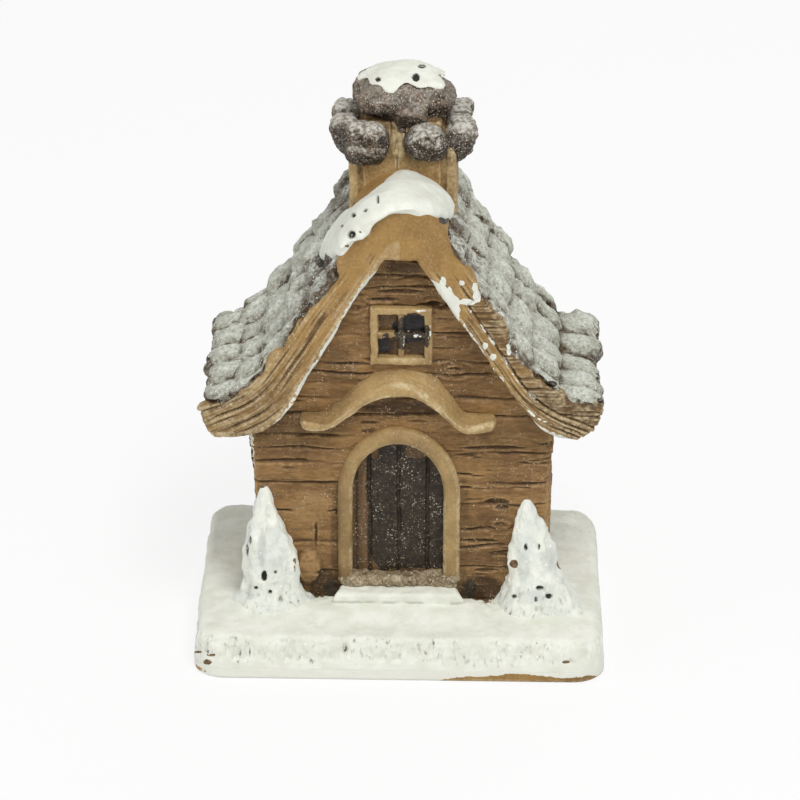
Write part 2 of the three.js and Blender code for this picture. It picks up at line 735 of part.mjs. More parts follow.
// A stone on one face of the stack: its place along the face and its lift are shares of the face's
// width and the stone's height.
function placeStone(name, face, alongShare, liftShare, widthShare, heightShare) {
  const shape = stone(stoneWidth * widthShare, stoneHeight * heightShare, stoneProjection);
  const mesh = addPiece(name, shape, stoneFinish);
  const onSide = face === "left" || face === "right";
  const seat = (onSide ? chimneyWidth : chimneyDepth) / 2;
  const along = (onSide ? chimneyDepth : chimneyWidth) * alongShare;
  const height = stoneCentreHeight + stoneHeight * liftShare;
  const quarterTurns = { front: 0, right: 1, rear: 2, left: 3 }[face];
  const angle = (quarterTurns * Math.PI) / 2;
  const direction = new THREE.Vector3(Math.sin(angle), -Math.cos(angle), 0);
  const sideways = new THREE.Vector3(Math.cos(angle), Math.sin(angle), 0);
  const upright = new THREE.Matrix4().makeBasis(sideways, new THREE.Vector3(0, 0, 1), direction);
  mesh.quaternion.setFromRotationMatrix(upright);
  mesh.position.copy(direction.multiplyScalar(seat).addScaledVector(sideways, along));
  mesh.position.add(new THREE.Vector3(0, chimneyCentreY, height));
}

// Rounded-square rings for the cap and its snow.
function capRing(share, z, wobble) {
  const around = 20;
  const ring = [];
  for (let i = 0; i < around; i++) {
    const angle = (2 * Math.PI * i) / around;
    const square = (value) => Math.sign(value) * Math.abs(value) ** 0.78;
    const reach = share * (1 + wobble * Math.cos(5 * angle + 0.6));
    const x = reach * (chimneyWidth / 2 - clearance) * square(Math.cos(angle));
    const y = reach * (chimneyDepth / 2 - clearance) * square(Math.sin(angle));
    ring.push(new THREE.Vector3(x, y + chimneyCentreY, z));
  }
  return ring;
}

function chimneyCap() {
  const steps = [[0.84, 0], [0.96, 0.18], [1, 0.42], [0.94, 0.68], [0.8, 0.88], [0.66, 1]];
  return loft(steps.map(([share, rise]) => capRing(share, chimneyTopHeight + rise * capHeight, 0.025)));
}

function chimneySnow() {
  const seat = chimneyTopHeight + capHeight;
  const steps = [[0.6, 0], [0.7, 0.25], [0.64, 0.55], [0.46, 0.85], [0.22, 1]];
  return loft(steps.map(([share, rise]) => capRing(share, seat + rise * capSnowHeight, 0.05 * (1 - rise))));
}

// Snow lying over the front of the ridge: a long lobe down its left side and a short right one.
function gableSnow() {
  const front = roofFront - ridgeSnowOverhang;
  const rear = chimneyFront - clearance;
  const steps = 5;
  const last = ridgeSnowStarts.length - 1;
  const seat = ridgeCapRise + clearance;
  const column = (index) => {
    const across = THREE.MathUtils.lerp(-ridgeSnowReachLeft, ridgeSnowReachRight, index / last);
    const start = THREE.MathUtils.lerp(front, rear, ridgeSnowStarts[index]);
    const end = THREE.MathUtils.lerp(front, rear, ridgeSnowEnds[index]);
    const station = roofLength - Math.abs(across);
    const top = [];
    const bottom = [];
    for (let step = 0; step <= steps; step++) {
      const y = THREE.MathUtils.lerp(start, end, step / steps);
      const edge = Math.min(index, last - index, step, steps - step);
      const thickness = ridgeSnowThickness * Math.min(1, 0.4 + 0.4 * edge);
      const [topX, topZ] = roofPoint(station, -seat - thickness);
      const [bottomX, bottomZ] = roofPoint(station, -seat);
      top.push(new THREE.Vector3(Math.sign(across) * topX, y, topZ));
      bottom.push(new THREE.Vector3(Math.sign(across) * bottomX, y, bottomZ));
    }
    return { top, bottom };
  };
  const columns = ridgeSnowStarts.map((_, index) => column(index));
  return slab(columns.map(({ top }) => top), columns.map(({ bottom }) => bottom));
}

// Firs: lumpy leaning cones in shallow tiers, notched round the corner of the walls.
function treeRing(side, share, z, lift) {
  const around = 14;
  const corner = houseWidthAtFoot / 2 + wallLean(treeSocketFloor + treeHeightLeft) - treeCornerInset;
  const centreX = treesShift + side * corner + (treeLean * (z - treeSocketFloor)) / treeHeightLeft;
  const ring = [];
  for (let i = 0; i < around; i++) {
    const angle = (2 * Math.PI * i) / around;
    const lump = 1 + 0.07 * lift * Math.cos(4 * angle + z + side);
    const x = centreX + share * treeRadius * lump * Math.cos(angle);
    const y = houseFront + share * treeRadius * treeDepthShare * lump * Math.sin(angle);
    ring.push(new THREE.Vector3(x, y, z));
  }
  return ring;
}

function firTree(side) {
  const tiers = [[1, 0], [0.95, 0.06], [0.82, 0.15], [0.69, 0.25], [0.63, 0.31], [0.68, 0.37]];
  tiers.push([0.58, 0.51], [0.39, 0.71], [0.24, 0.86], [0.12, 0.96], [0.04, 1]);
  const lift = (rise) => (rise > 0.09 && rise < 0.9 ? 1 : 0);
  const height = side > 0 ? treeHeightRight : treeHeightLeft;
  const rings = tiers.map(([share, rise]) => treeRing(side, share, treeSocketFloor + rise * height, lift(rise)));
  const walls = underRoof(0, 0, clearance);
  return cut(loft(rings), alongY(walls, houseFront - clearance, houseRear));
}

// Base.
function baseOutline(inset) {
  const perCorner = 6;
  const perSide = 5;
  const radius = Math.max(baseCornerRadius - inset, 0.8);
  const halfDepth = baseDepth / 2 - inset;
  const halfWidth = (side, y) => {
    const share = (y + baseDepth / 2 - baseCornerRadius) / (baseDepth - 2 * baseCornerRadius);
    return baseWidth / 2 - inset - (side > 0 ? baseRearNarrowing * share : 0);
  };
  const corners = [[1, 1], [-1, 1], [-1, -1], [1, -1]];
  const outline = [];
  corners.forEach(([signX, signY], corner) => {
    const centreY = signY * (halfDepth - radius);
    const centreX = signX * (halfWidth(signX, centreY) - radius);
    for (let i = 0; i < perCorner; i++) {
      const angle = ((corner + i / (perCorner - 1)) * Math.PI) / 2;
      outline.push([centreX + radius * Math.cos(angle), centreY + radius * Math.sin(angle)]);
    }
  });
  const filled = [];
  outline.forEach(([x, y], i) => {
    filled.push([x, y]);
    if (i % perCorner !== perCorner - 1) return;
    const [nextX, nextY] = outline[(i + 1) % outline.length];
    for (let k = 1; k < perSide; k++) {
      filled.push([x + ((nextX - x) * k) / perSide, y + ((nextY - y) * k) / perSide]);
    }
  });
  return filled;
}

function basePlinth() {
  const ring = (inset, z) => baseOutline(inset).map(([x, y]) => new THREE.Vector3(x, y, z));
  return loft([ring(plinthChamfer, 0), ring(0, plinthChamfer), ring(0, plinthHeight)]);
}

function snowGround() {
  const ring = (inset, z, roll) =>
    baseOutline(inset).map(([x, y]) => new THREE.Vector3(x, y, z + roll * Math.sin(0.55 * x + 0.8 * y)));
  const rings = [
    ring(0, plinthHeight, 0),
    ring(snowEdgeRound * 0.1, THREE.MathUtils.lerp(plinthHeight, snowEdgeHeight, 0.45), 0),
    ring(snowEdgeRound * 0.4, snowEdgeHeight - snowEdgeRound * 0.4, 0.1),
    ring(snowEdgeRound, snowEdgeHeight, 0.15),
    ring(snowEdgeRound + snowBankWidth / 2, THREE.MathUtils.lerp(snowEdgeHeight, snowHouseHeight, 0.6), 0.12),
    ring(snowEdgeRound + snowBankWidth, snowHouseHeight, 0),
  ];
  const drift = loft(rings);
  const top = snowHouseHeight + 1;
  const grow = clearance;
  const houseHole = block(
    -houseWidthAtFoot / 2 - grow - wallLean(top),
    houseWidthAtFoot / 2 + grow + wallLean(top),
    houseFront - grow,
    houseRear + grow,
    houseSocketFloor,
    top,
  );
  const treeHoles = [-1, 1].map((side) => {
    const hole = (z) => treeRing(side, 1 + clearance / treeRadius, z, 0);
    return loft([hole(treeSocketFloor), hole(top)]);
  });
  const stepHole = alongZ(shapeOf(stepOutline(grow)), stepSocketFloor, top);
  return cut(drift, houseHole, stepHole, ...treeHoles);
}

addPiece("base_plinth", basePlinth(), woodFinish);
addPiece("snow_ground", snowGround(), snowFinish);

addPiece("house_core", houseCore(), woodFinish);
const doorHole = archOutline(doorHalfWidth, sillTopHeight, doorTop, doorArchRise);
const windowHole = shapeOf(squareOutline(windowOpeningSize));
const frontWall = cut(
  gableSkin(houseFront, coreFront),
  alongY(doorHole, houseFront - 1, coreFront + 1, { curveSegments: 10 }),
  alongY(windowHole, houseFront - 1, coreFront + 1),
);
addPiece("front_wall", frontWall, woodFinish);
addPiece("rear_wall", gableSkin(houseRear, coreRear), woodFinish);
addPiece("left_wall", sideSkin(-1), woodFinish);
addPiece("right_wall", sideSkin(1), woodFinish);

addPiece("door_frame", doorFrame(), trimFinish);
addPiece("door_leaf", doorLeaf(), doorFinish);
addPiece("door_sill", doorSill(), trimFinish);
addPiece("door_step", doorStep(), snowFinish);
addPiece("door_hood", doorHood(), trimFinish);
addPiece("window_frame", windowFrame(), trimFinish);
addPiece("window_bars", windowBars(), trimFinish);
addPiece("window_panes", windowPanes(), glassFinish);

for (const [hand, side] of [["left", -1], ["right", 1]]) {
  addPiece(`bargeboard_front_${hand}`, bargeboard(side, roofFront, deckFront), woodFinish);
  addPiece(`bargeboard_rear_${hand}`, bargeboard(side, roofRear, deckRear), woodFinish);
  addPiece(`roof_deck_${hand}`, roofDeck(side), woodFinish);
  for (let course = 0; course < courseCount; course++) {
    addPiece(`tile_course_${hand}_${course + 1}`, tileCourse(side, course), tileFinish);
  }
  addPiece(`fir_tree_${hand}`, firTree(side), snowFinish);
}

addPiece("ridge_cap_front", ridgeCap(roofFront - tileOverhang / 2, chimneyFront - clearance), woodFinish);
addPiece("ridge_cap_rear", ridgeCap(chimneyRear + clearance, roofRear), woodFinish);
addPiece("gable_snow", gableSnow(), snowFinish);

addPiece("chimney_stack", chimneyStack(), trimFinish);
placeStone("collar_stone_front_left", "front", -0.34, -0.02, 1.12, 1);
placeStone("collar_stone_front_right", "front", 0.22, 0.04, 0.88, 0.8);
placeStone("collar_stone_right_front", "right", -0.22, -0.12, 0.98, 0.92);
placeStone("collar_stone_right_rear", "right", 0.25, -0.1, 0.94, 0.82);
placeStone("collar_stone_rear_right", "rear", -0.24, 0, 1.02, 0.9);
placeStone("collar_stone_rear_left", "rear", 0.24, 0, 0.98, 0.9);
placeStone("collar_stone_left_rear", "left", -0.25, -0.14, 0.94, 0.82);
placeStone("collar_stone_left_front", "left", 0.23, -0.06, 0.98, 0.9);
addPiece("chimney_cap", chimneyCap(), stoneFinish);
addPiece("chimney_snow", chimneySnow(), snowFinish);

export default house;
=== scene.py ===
"""A small cast winter cottage: carved planks, lapped tiles, thick painted snow and glitter.

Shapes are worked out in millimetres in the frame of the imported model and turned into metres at
the end. Every surface is a dense mesh whose relief comes from functions of position, and every
finish is a node material that reads that relief.
"""

import math

import bpy
import numpy as np
import openvdb
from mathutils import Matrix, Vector


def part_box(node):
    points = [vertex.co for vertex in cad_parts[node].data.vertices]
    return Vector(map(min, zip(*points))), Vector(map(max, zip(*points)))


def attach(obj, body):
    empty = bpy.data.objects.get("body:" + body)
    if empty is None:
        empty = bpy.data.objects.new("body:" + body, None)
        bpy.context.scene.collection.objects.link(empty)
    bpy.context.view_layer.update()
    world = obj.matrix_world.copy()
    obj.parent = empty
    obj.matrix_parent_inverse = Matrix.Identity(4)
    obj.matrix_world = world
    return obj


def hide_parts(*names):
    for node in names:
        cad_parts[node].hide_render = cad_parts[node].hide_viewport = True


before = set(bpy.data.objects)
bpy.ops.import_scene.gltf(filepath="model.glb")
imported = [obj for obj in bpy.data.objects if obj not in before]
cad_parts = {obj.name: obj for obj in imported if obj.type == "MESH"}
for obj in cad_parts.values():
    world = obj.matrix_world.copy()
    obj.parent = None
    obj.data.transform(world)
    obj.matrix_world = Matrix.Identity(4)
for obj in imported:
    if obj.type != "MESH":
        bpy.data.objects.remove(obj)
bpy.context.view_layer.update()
MM = 0.001


def corners(node):
    """A node's lowest and highest corners in millimetres."""
    low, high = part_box(node)
    return np.array(low) / MM, np.array(high) / MM


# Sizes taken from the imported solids, in millimetres.
HOUSE_FRONT = corners("front_wall")[0][1]
HOUSE_REAR = corners("rear_wall")[1][1]
ROOF_FRONT = corners("bargeboard_front_left")[0][1]
ROOF_REAR = corners("bargeboard_rear_left")[1][1]
CHIMNEY_LOW, CHIMNEY_HIGH = corners("chimney_stack")
BASE_HIGH = corners("base_plinth")[1]

# Sizes shared with the solids that their boxes don't show, in millimetres.
SKIN = 1.6
FOOT_HALF, EAVE_HALF = 15.2, 16.6
SOCKET_FLOOR, EAVE_UNDER = 4.0, 27.6
BOARD_THICKNESS = 2.0
DOOR_X, DOOR_HALF, DOOR_RISE, DOOR_FRAME = -0.15, 4.65, 5.0, 2.0
SILL_TOP, DOOR_TOP = 8.5, 24.5
CHIMNEY_Y = (CHIMNEY_LOW[1] + CHIMNEY_HIGH[1]) / 2
CHIMNEY_HALF_X, CHIMNEY_HALF_Y = 5.8, 5.3
WINDOW_X, WINDOW_Z, WINDOW_HALF, WINDOW_FRAME = 0.1, 37.4, 2.5, 0.85

# The boards' long grain, in millimetres, and the span that their stored places are shares of.
GRAIN_LENGTH, GRAIN_WIDTH, MARK_SPAN = 5.0, 0.26, 100.0

# The camera, matched to the photograph. Lengths in millimetres, picture sizes in pixels.
AZIMUTH, ELEVATION = math.radians(1.7), math.radians(25)
DISTANCE = 600.0
PICTURE, FOCAL = 800, 5460.0
AIM = np.array([-0.33, 1.7, 25.05])
TO_EYE = np.array(
    [
        math.sin(AZIMUTH) * math.cos(ELEVATION),
        -math.cos(AZIMUTH) * math.cos(ELEVATION),
        math.sin(ELEVATION),
    ]
)
RIGHT = np.array([math.cos(AZIMUTH), math.sin(AZIMUTH), 0.0])
UP = np.cross(TO_EYE, RIGHT)
EYE = AIM + TO_EYE * DISTANCE


def seen_at(p):
    """Where points in space fall in the picture, in pixels."""
    d = p - EYE
    depth = -d @ TO_EYE
    return PICTURE / 2 + FOCAL * (d @ RIGHT) / depth, PICTURE / 2 - FOCAL * (d @ UP) / depth


def on_plane(px, py, y):
    """The x and z of picture points on the plane at y."""
    px, py = np.asarray(px, float), np.asarray(py, float)
    ray = (
        RIGHT * ((px - PICTURE / 2) / FOCAL)[..., None]
        - UP * ((py - PICTURE / 2) / FOCAL)[..., None]
        - TO_EYE
    )
    reach = (y - EYE[1]) / ray[..., 1]
    point = EYE + ray * reach[..., None]
    return point[..., [0, 2]]


def spots(p, places):
    """Soft spots by their place in the picture: x, y, half width, half height and strength."""
    px, py = seen_at(p)
    total = np.zeros(len(p))
    for x, y, wide, tall, strength in places:
        d2 = ((px - x) / wide) ** 2 + ((py - y) / tall) ** 2
        total = np.maximum(total, strength * np.clip(1.6 - d2, 0, 1))
    return total


# Repeatable noise.
SCATTER = np.array([0x9E3779B1, 0x85EBCA77, 0xC2B2AE3D], np.uint32)
SEED_FACTOR, SEED_START = 2654435761, 97
# Shift and factor of each round that mixes a lattice point's bits.
MIXING = ((15, 0x2C1B3C6D), (12, 0x297A2D39), (15, 1))


def lattice(i, j, k, seed):
    """A value from 0 to 1 for each point of a lattice, the same on every run."""
    h = i.astype(np.uint32) * SCATTER[0]
    h ^= j.astype(np.uint32) * SCATTER[1]
    h ^= k.astype(np.uint32) * SCATTER[2]
    h += np.uint32((seed * SEED_FACTOR + SEED_START) & 0xFFFFFFFF)
    for shift, factor in MIXING:
        h ^= h >> np.uint32(shift)
        h *= np.uint32(factor)
    return h.astype(np.float64) / (2**32 - 1)


def noise(p, size, seed=0):
    """Smooth noise from -1 to 1 whose lumps are about size across. size may differ by axis."""
    q = p / np.asarray(size, float) + seed * 7.31
    base = np.floor(q)
    f = q - base
    f = f * f * f * (f * (f * 6 - 15) + 10)
    i, j, k = (base[:, n].astype(np.int64).astype(np.int32) for n in range(3))
    shares = [(1 - f[:, n], f[:, n]) for n in range(3)]
    total = np.zeros(len(p))
    for a, b, c in np.ndindex(2, 2, 2):
        total += shares[0][a] * shares[1][b] * shares[2][c] * lattice(i + a, j + b, k + c, seed)
    return 2 * total - 1


def fbm(p, size, seed=0, octaves=3):
    """Noise in octaves, each half the size and half the strength of the last."""
    total, weight, reach = np.zeros(len(p)), 1.0, 0.0
    size = np.asarray(size, float)
    for octave in range(octaves):
        total += weight * noise(p, size / 2**octave, seed + 13 * octave)
        reach += weight
        weight /= 2
    return total / reach


def cells(p, size, seed=0):
    """Distance to the nearest of scattered points, in shares of size, and that point's own value."""
    q = p / size
    base = np.floor(q).astype(np.int64).astype(np.int32)
    nearest, owner = np.full(len(p), 9.0), np.zeros(len(p))
    for step in np.ndindex(3, 3, 3):
        corner = [base[:, n] + step[n] - 1 for n in range(3)]
        off = [corner[n] + lattice(*corner, seed + n) - q[:, n] for n in range(3)]
        d = np.sqrt(off[0] ** 2 + off[1] ** 2 + off[2] ** 2)
        closer = d < nearest
        nearest = np.where(closer, d, nearest)
        owner = np.where(closer, lattice(*corner, seed + 3), owner)
    return nearest, owner


def between(x, start, end):
    """0 up to start and 1 from end on, smooth between. start may be the higher of the two."""
    t = np.clip((x - start) / (end - start), 0, 1)
    return t * t * (3 - 2 * t)


def bumps_at(p, bumps):
    """Sum of round bumps: each is x, y, z, radius, height."""
    total = np.zeros(len(p))
    for x, y, z, radius, height in bumps:
        d2 = ((p - (x, y, z)) ** 2).sum(1) / radius**2
        total += height * np.exp(-d2)
    return total


# Distance fields.
def soft_min(a, b, k):
    """The lower of two fields, with their crease rounded over a width of k."""
    m = np.maximum(k - np.abs(a - b), 0) / k
    return np.minimum(a, b) - m * m * k / 4


def soft_max(a, b, k):
    """The higher of two fields, rounded likewise."""
    return -soft_min(-a, -b, k)


def rounded_box(x, y, z, half, radius):
    """Distance to a box round the origin, with rounded edges."""
    q = [np.abs(place) - reach + radius for place, reach in zip((x, y, z), half)]
    outer = np.sqrt(sum(np.maximum(part, 0) ** 2 for part in q))
    return outer + np.minimum(np.maximum(q[0], np.maximum(q[1], q[2])), 0) - radius


def pebble(x, y, z, half, power):
    """A rounded lump round the origin, the more like a box the higher its power."""
    a, b, c = half
    k = (np.abs(x / a) ** power + np.abs(y / b) ** power + np.abs(z / c) ** power) ** (1 / power)
    return (k - 1) * min(half)


def polygon_distance(outline, x, z):
    """Signed distance to a closed outline of (x, z) points, negative inside."""
    outline = np.asarray(outline, float)
    best = np.full(np.broadcast(x, z).shape, 1e9)
    inside = np.zeros(best.shape, bool)
    for (x0, z0), (x1, z1) in zip(outline, np.roll(outline, -1, 0)):
        ex, ez = x1 - x0, z1 - z0
        t = np.clip(((x - x0) * ex + (z - z0) * ez) / max(ex * ex + ez * ez, 1e-12), 0, 1)
        best = np.minimum(best, (x - x0 - t * ex) ** 2 + (z - z0 - t * ez) ** 2)
        if z0 != z1:
            inside ^= ((z0 > z) != (z1 > z)) & (x < x0 + (z - z0) * ex / ez)
    return np.where(inside, -1, 1) * np.sqrt(best)


def extruded(plan, across, middle, thickness, radius):
    """A flat plan distance given a thickness across, with rounded edges."""
    q1 = plan + radius
    q2 = np.abs(across - middle) - thickness / 2 + radius
    outer = np.sqrt(np.maximum(q1, 0) ** 2 + np.maximum(q2, 0) ** 2)
    return np.minimum(np.maximum(q1, q2), 0) + outer - radius


def along_line(x, points):
    """Height of a line through (x, height) points."""
    return np.interp(x, *np.array(points, float).T)


# Meshes.
class Skin:
    """Points in millimetres, faces of three, four or more corners, and marks kept at the points."""

    def __init__(self, points, faces):
        self.p = np.asarray(points, float)
        self.faces = [np.asarray(group, np.int64) for group in faces]
        self.marks = {}

    @property
    def x(self):
        return self.p[:, 0]

    @property
    def y(self):
        return self.p[:, 1]

    @property
    def z(self):
        return self.p[:, 2]

    def quads(self):
        """The groups of faces with four corners."""
        return [group for group in self.faces if group.shape[1] == 4]

    def edges(self):
        """Pairs of neighbouring points."""
        pairs = [np.stack([q[:, n], q[:, (n + 1) % 4]], 1) for q in self.quads() for n in range(4)]
        return np.concatenate(pairs)

    def normals(self):
        """The outward direction at each point."""
        total = np.zeros_like(self.p)
        for q in self.quads():
            face = np.cross(self.p[q[:, 2]] - self.p[q[:, 0]], self.p[q[:, 3]] - self.p[q[:, 1]])
            for n, axis in np.ndindex(4, 3):
                total[:, axis] += np.bincount(q[:, n], face[:, axis], len(self.p))
        return total / np.maximum(np.linalg.norm(total, axis=1), 1e-12)[:, None]

    def softened(self, passes):
        """The points, each moved half way to the mean of its neighbours, passes times over."""
        edges, p, count = self.edges(), self.p.copy(), len(self.p)
        ends = np.bincount(edges.ravel(), minlength=count)
        for _ in range(passes):
            total = np.zeros_like(p)
            for axis in range(3):
                total[:, axis] += np.bincount(edges[:, 0], p[edges[:, 1], axis], count)
                total[:, axis] += np.bincount(edges[:, 1], p[edges[:, 0], axis], count)
            p = np.where(ends[:, None] > 0, 0.5 * p + 0.5 * total / np.maximum(ends, 1)[:, None], p)
        return p

    def push(self, amount):
        """Moves each point along its normal, outwards for a positive amount."""
        self.p += self.normals() * np.asarray(amount)[:, None]

    def hollows(self, passes):
        """How far each point lies below its surroundings, positive in a hollow."""
        return ((self.softened(passes) - self.p) * self.normals()).sum(1)

    def face_out(self):
        """Turns the faces outwards, if the volume that they close comes out negative."""
        volume = 0.0
        for q in self.quads():
            a, b, c, d = (self.p[q[:, n]] for n in range(4))
            volume += (a * np.cross(b, c)).sum() + (a * np.cross(c, d)).sum()
        if volume < 0:
            self.faces = [group[:, ::-1] for group in self.faces]

    def add(self, mark, amount, keep=1.0):
        """Adds to a mark, held between 0 and 1, and keeps this share of what was there."""
        self.marks[mark] = np.clip(keep * self.marks[mark] + amount, 0, 1)

    def darken_hollows_lighten_heights(self, fine=0.03, broad=0.12):
        """Marks the dark in the hollows, which is wash on resin and painted shade on snow, and the
        paint rubbed off the heights.

        fine and broad are the depths, in millimetres, at which small and large hollows fill."""
        level = self.hollows(2) / fine + self.hollows(14) / broad
        self.marks["wash_and_shade"] = between(level, 0.1, 1.5)
        self.marks["rub_and_highlight"] = between(level, -0.25, -1.6)

    def sink(self, places, depth):
        """Presses pits into the side that faces the camera. Returns how deep each point lies in one."""
        pits = spots(self.p, places) * (self.normals() @ TO_EYE > 0)
        self.push(-depth * np.clip(pits, 0, 1))
        return pits


def skin_of(field, low, high, step):
    """The surface where a field of x, y and z is zero."""
    axes = [np.arange(a, b + step, step) for a, b in zip(low, high)]
    values = np.broadcast_to(field(*spread(axes)), [len(a) for a in axes])
    return skin_of_values(values, low, step)


def spread(axes):
    """Three rows of numbers, each turned along an axis of its own."""
    return axes[0][:, None, None], axes[1][None, :, None], axes[2][None, None, :]


def skin_of_values(values, low, step):
    """The surface where a grid of distances is zero. low is its first corner."""
    edge = 3 * step
    values = np.clip(values, -edge, edge)
    values = np.pad(values, 1, constant_values=edge).astype(np.float32)
    grid = openvdb.FloatGrid(edge)
    grid.copyFromArray(values)
    points, quads = grid.convertToQuads(0.0)
    return Skin((points - 1) * step + np.asarray(low, float), [quads.astype(np.int64)])


def tube(rings):
    """A closed skin through rings of points, with a flat end on each."""
    rings = np.asarray(rings, float)
    rows, columns = rings.shape[:2]
    index = np.arange(rows * columns).reshape(rows, columns)
    after = np.roll(index, -1, 1)
    quads = np.stack([index[:-1], after[:-1], after[1:], index[1:]], -1).reshape(-1, 4)
    return Skin(rings.reshape(-1, 3), [quads, index[:1, ::-1], index[-1:]])


def place(name, skin, finish, slot, *nodes):
    """Puts a finished skin into the scene, riding on the one body in place of its solids."""
    skin.face_out()
    mesh = bpy.data.meshes.new(name)
    ends = np.concatenate([group.ravel() for group in skin.faces])
    counts = np.concatenate([np.full(len(group), group.shape[1]) for group in skin.faces])
    mesh.vertices.add(len(skin.p))
    mesh.vertices.foreach_set("co", (skin.p * MM).astype(np.float32).ravel())
    mesh.loops.add(len(ends))
    mesh.loops.foreach_set("vertex_index", ends.astype(np.int32))
    mesh.polygons.add(len(counts))
    mesh.polygons.foreach_set("loop_start", (np.cumsum(counts) - counts).astype(np.int32))
    mesh.polygons.foreach_set("use_smooth", np.ones(len(counts), bool))
    mesh.update(calc_edges=True)
    for mark, values in skin.marks.items():
        layer = mesh.attributes.new(mark, "FLOAT", "POINT")
        layer.data.foreach_set("value", np.clip(values, -1, 2).astype(np.float32))
    mesh.materials.append(finish)
    piece = bpy.data.objects.new(name, mesh)
    bpy.context.scene.collection.objects.link(piece)
    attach(piece, "root")
    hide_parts(*nodes)


# Finishes.
def linear(color):
    """Turns a colour written as 0 to 255 into the linear values that nodes take."""
    values = [c / 255 for c in color]
    return [c / 12.92 if c <= 0.04045 else ((c + 0.055) / 1.055) ** 2.4 for c in values] + [1.0]


class Finish:
    """Builds one material's nodes. Lengths inside are millimetres."""

    def __init__(self, name):
        self.material = bpy.data.materials.new(name)
        self.material.use_nodes = True
        self.tree = self.material.node_tree
        self.tree.nodes.clear()
        self.shader = self.node("BsdfPrincipled")
        self.node("OutputMaterial", self.shader.outputs[0])
        scaled = self.node("VectorMath", self.node("TexCoord").outputs["Object"], operation="SCALE")
        scaled.inputs["Scale"].default_value = 1 / MM
        self.mm = scaled.outputs[0]

    def feed(self, source, socket):
        """Links a socket to a node's output, or sets it to a number or to a written colour."""
        if isinstance(source, bpy.types.NodeSocket):
            self.tree.links.new(source, socket)
        elif isinstance(source, tuple):
            socket.default_value = linear(source)
        else:
            socket.default_value = source

    def node(self, kind, *sources, **settings):
        """Adds a node with its settings, and feeds its first sockets."""
        node = self.tree.nodes.new("ShaderNode" + kind)
        for setting, value in settings.items():
            setattr(node, setting, value)
        for source, socket in zip(sources, node.inputs):
            self.feed(source, socket)
        return node

    def math(self, operation, a, b, clamp=False):
        return self.node("Math", a, b, operation=operation, use_clamp=clamp).outputs[0]

    def times(self, product, *factors):
        for factor in factors:
            product = self.math("MULTIPLY", product, factor)
        return product

    def noise(self, size, detail=3.0, stretch=None, shift=0.0, where=None):
        """Lumps about size across. stretch packs them closer along an axis, shift moves them."""
        where = where or self.mm
        if stretch:
            where = self.node("VectorMath", where, list(stretch), operation="MULTIPLY").outputs[0]
        if shift:
            moved = [shift, shift * 0.7, shift * 1.3]
            where = self.node("VectorMath", where, moved, operation="ADD").outputs[0]
        node = self.node("TexNoise", where)
        node.inputs["Scale"].default_value = 1 / size
        node.inputs["Detail"].default_value = detail
        return node.outputs[0]

    def mark(self, name):
        return self.node("Attribute", attribute_name=name).outputs["Fac"]

    def ramp(self, value, low, high, bottom=0.0, top=1.0):
        """Eases from bottom to top as the value goes from low to high."""
        sources = (value, low, high, bottom, top)
        return self.node("MapRange", *sources, interpolation_type="SMOOTHSTEP").outputs[0]

    def mix(self, share, a, b):
        """Colour a with a share of colour b over it."""
        node = self.node("Mix", data_type="RGBA")
        for name, source in (("Factor", share), ("A", a), ("B", b)):
            self.feed(source, node.inputs[name])
        return node.outputs["Result"]

    def lengthwise(self):
        """Places along and across a board, in lengths and widths of its grain."""
        run = self.times(self.mark("run"), MARK_SPAN / GRAIN_LENGTH)
        rise = self.times(self.mark("rise"), MARK_SPAN / GRAIN_WIDTH)
        return self.node("CombineXYZ", run, rise).outputs[0]

    def ragged(self, value, size, reach, shift=0.0):
        """Gives a painted mask a broken edge."""
        rough = self.ramp(self.noise(size, 4.0, shift=shift), 0.25, 0.75, -reach, reach)
        return self.ramp(self.math("ADD", value, rough), 0.44, 0.56)

    def scribble(self, size, width):
        """Fine wandering lines, as dried glitter varnish leaves."""
        off = self.node("Math", self.math("SUBTRACT", self.noise(size, 2.0), 0.5), operation="ABSOLUTE")
        return self.ramp(off.outputs[0], width, width * 0.3)

    def glinting_flakes(self, size, share, radius=0.3, faint=0.12):
        """Scattered glitter painted as glints: how much of a flake lies here, times how brightly that
        flake glints.
        """
        node = self.node("TexVoronoi", self.mm)
        node.inputs["Scale"].default_value = 1 / size
        value = self.node("SeparateColor", node.outputs["Color"])
        chosen = self.ramp(value.outputs[0], 1 - share, 1 - share + 0.02)
        disc = self.ramp(node.outputs["Distance"], radius, radius * 0.75)
        return self.times(chosen, disc, self.ramp(value.outputs[1], 0.3, 1.0, faint, 1.0))

    def close(self, color, rough, height, grit, gloss=0.28):
        """Gives the shader its colour, roughness, gloss and fine relief of grit millimetres."""
        bump = self.node("Bump")
        bump.inputs["Strength"].default_value = 1.0
        bump.inputs["Distance"].default_value = grit * MM
        self.feed(height, bump.inputs["Height"])
        self.feed(color, self.shader.inputs["Base Color"])
        self.feed(rough, self.shader.inputs["Roughness"])
        self.feed(bump.outputs[0], self.shader.inputs["Normal"])
        self.shader.inputs["Specular IOR Level"].default_value = gloss
        return self.material


# What a cast finish has unless it says otherwise. patch and grit are lengths in millimetres,
# stretch packs its patches closer along an axis, dust and flake are the shares of small and large
# glitter, painted as glints, cluster says where glitter gathers, and mottle, the wash with its
# painted shade, the rub with its painted highlights, and scribble are strengths.
CAST_LOOK = {
    "patch": 3.0,
    "stretch": None,
    "mottle": 0.4,
    "grain": False,
    "wash_and_shade": 0.92,
    "rub_and_highlight": 0.8,
    "rough": 0.6,
    "grit": 0.02,
    "dust": 0.35,
    "flake": 0.03,
    "cluster": (0.45, 0.68),
    "scribble": 0.25,
    "silver": (206, 190, 158),
}
DARK_COAT_AND_SHADOW, WHITE_PAINT = (64, 54, 42), (230, 231, 220)


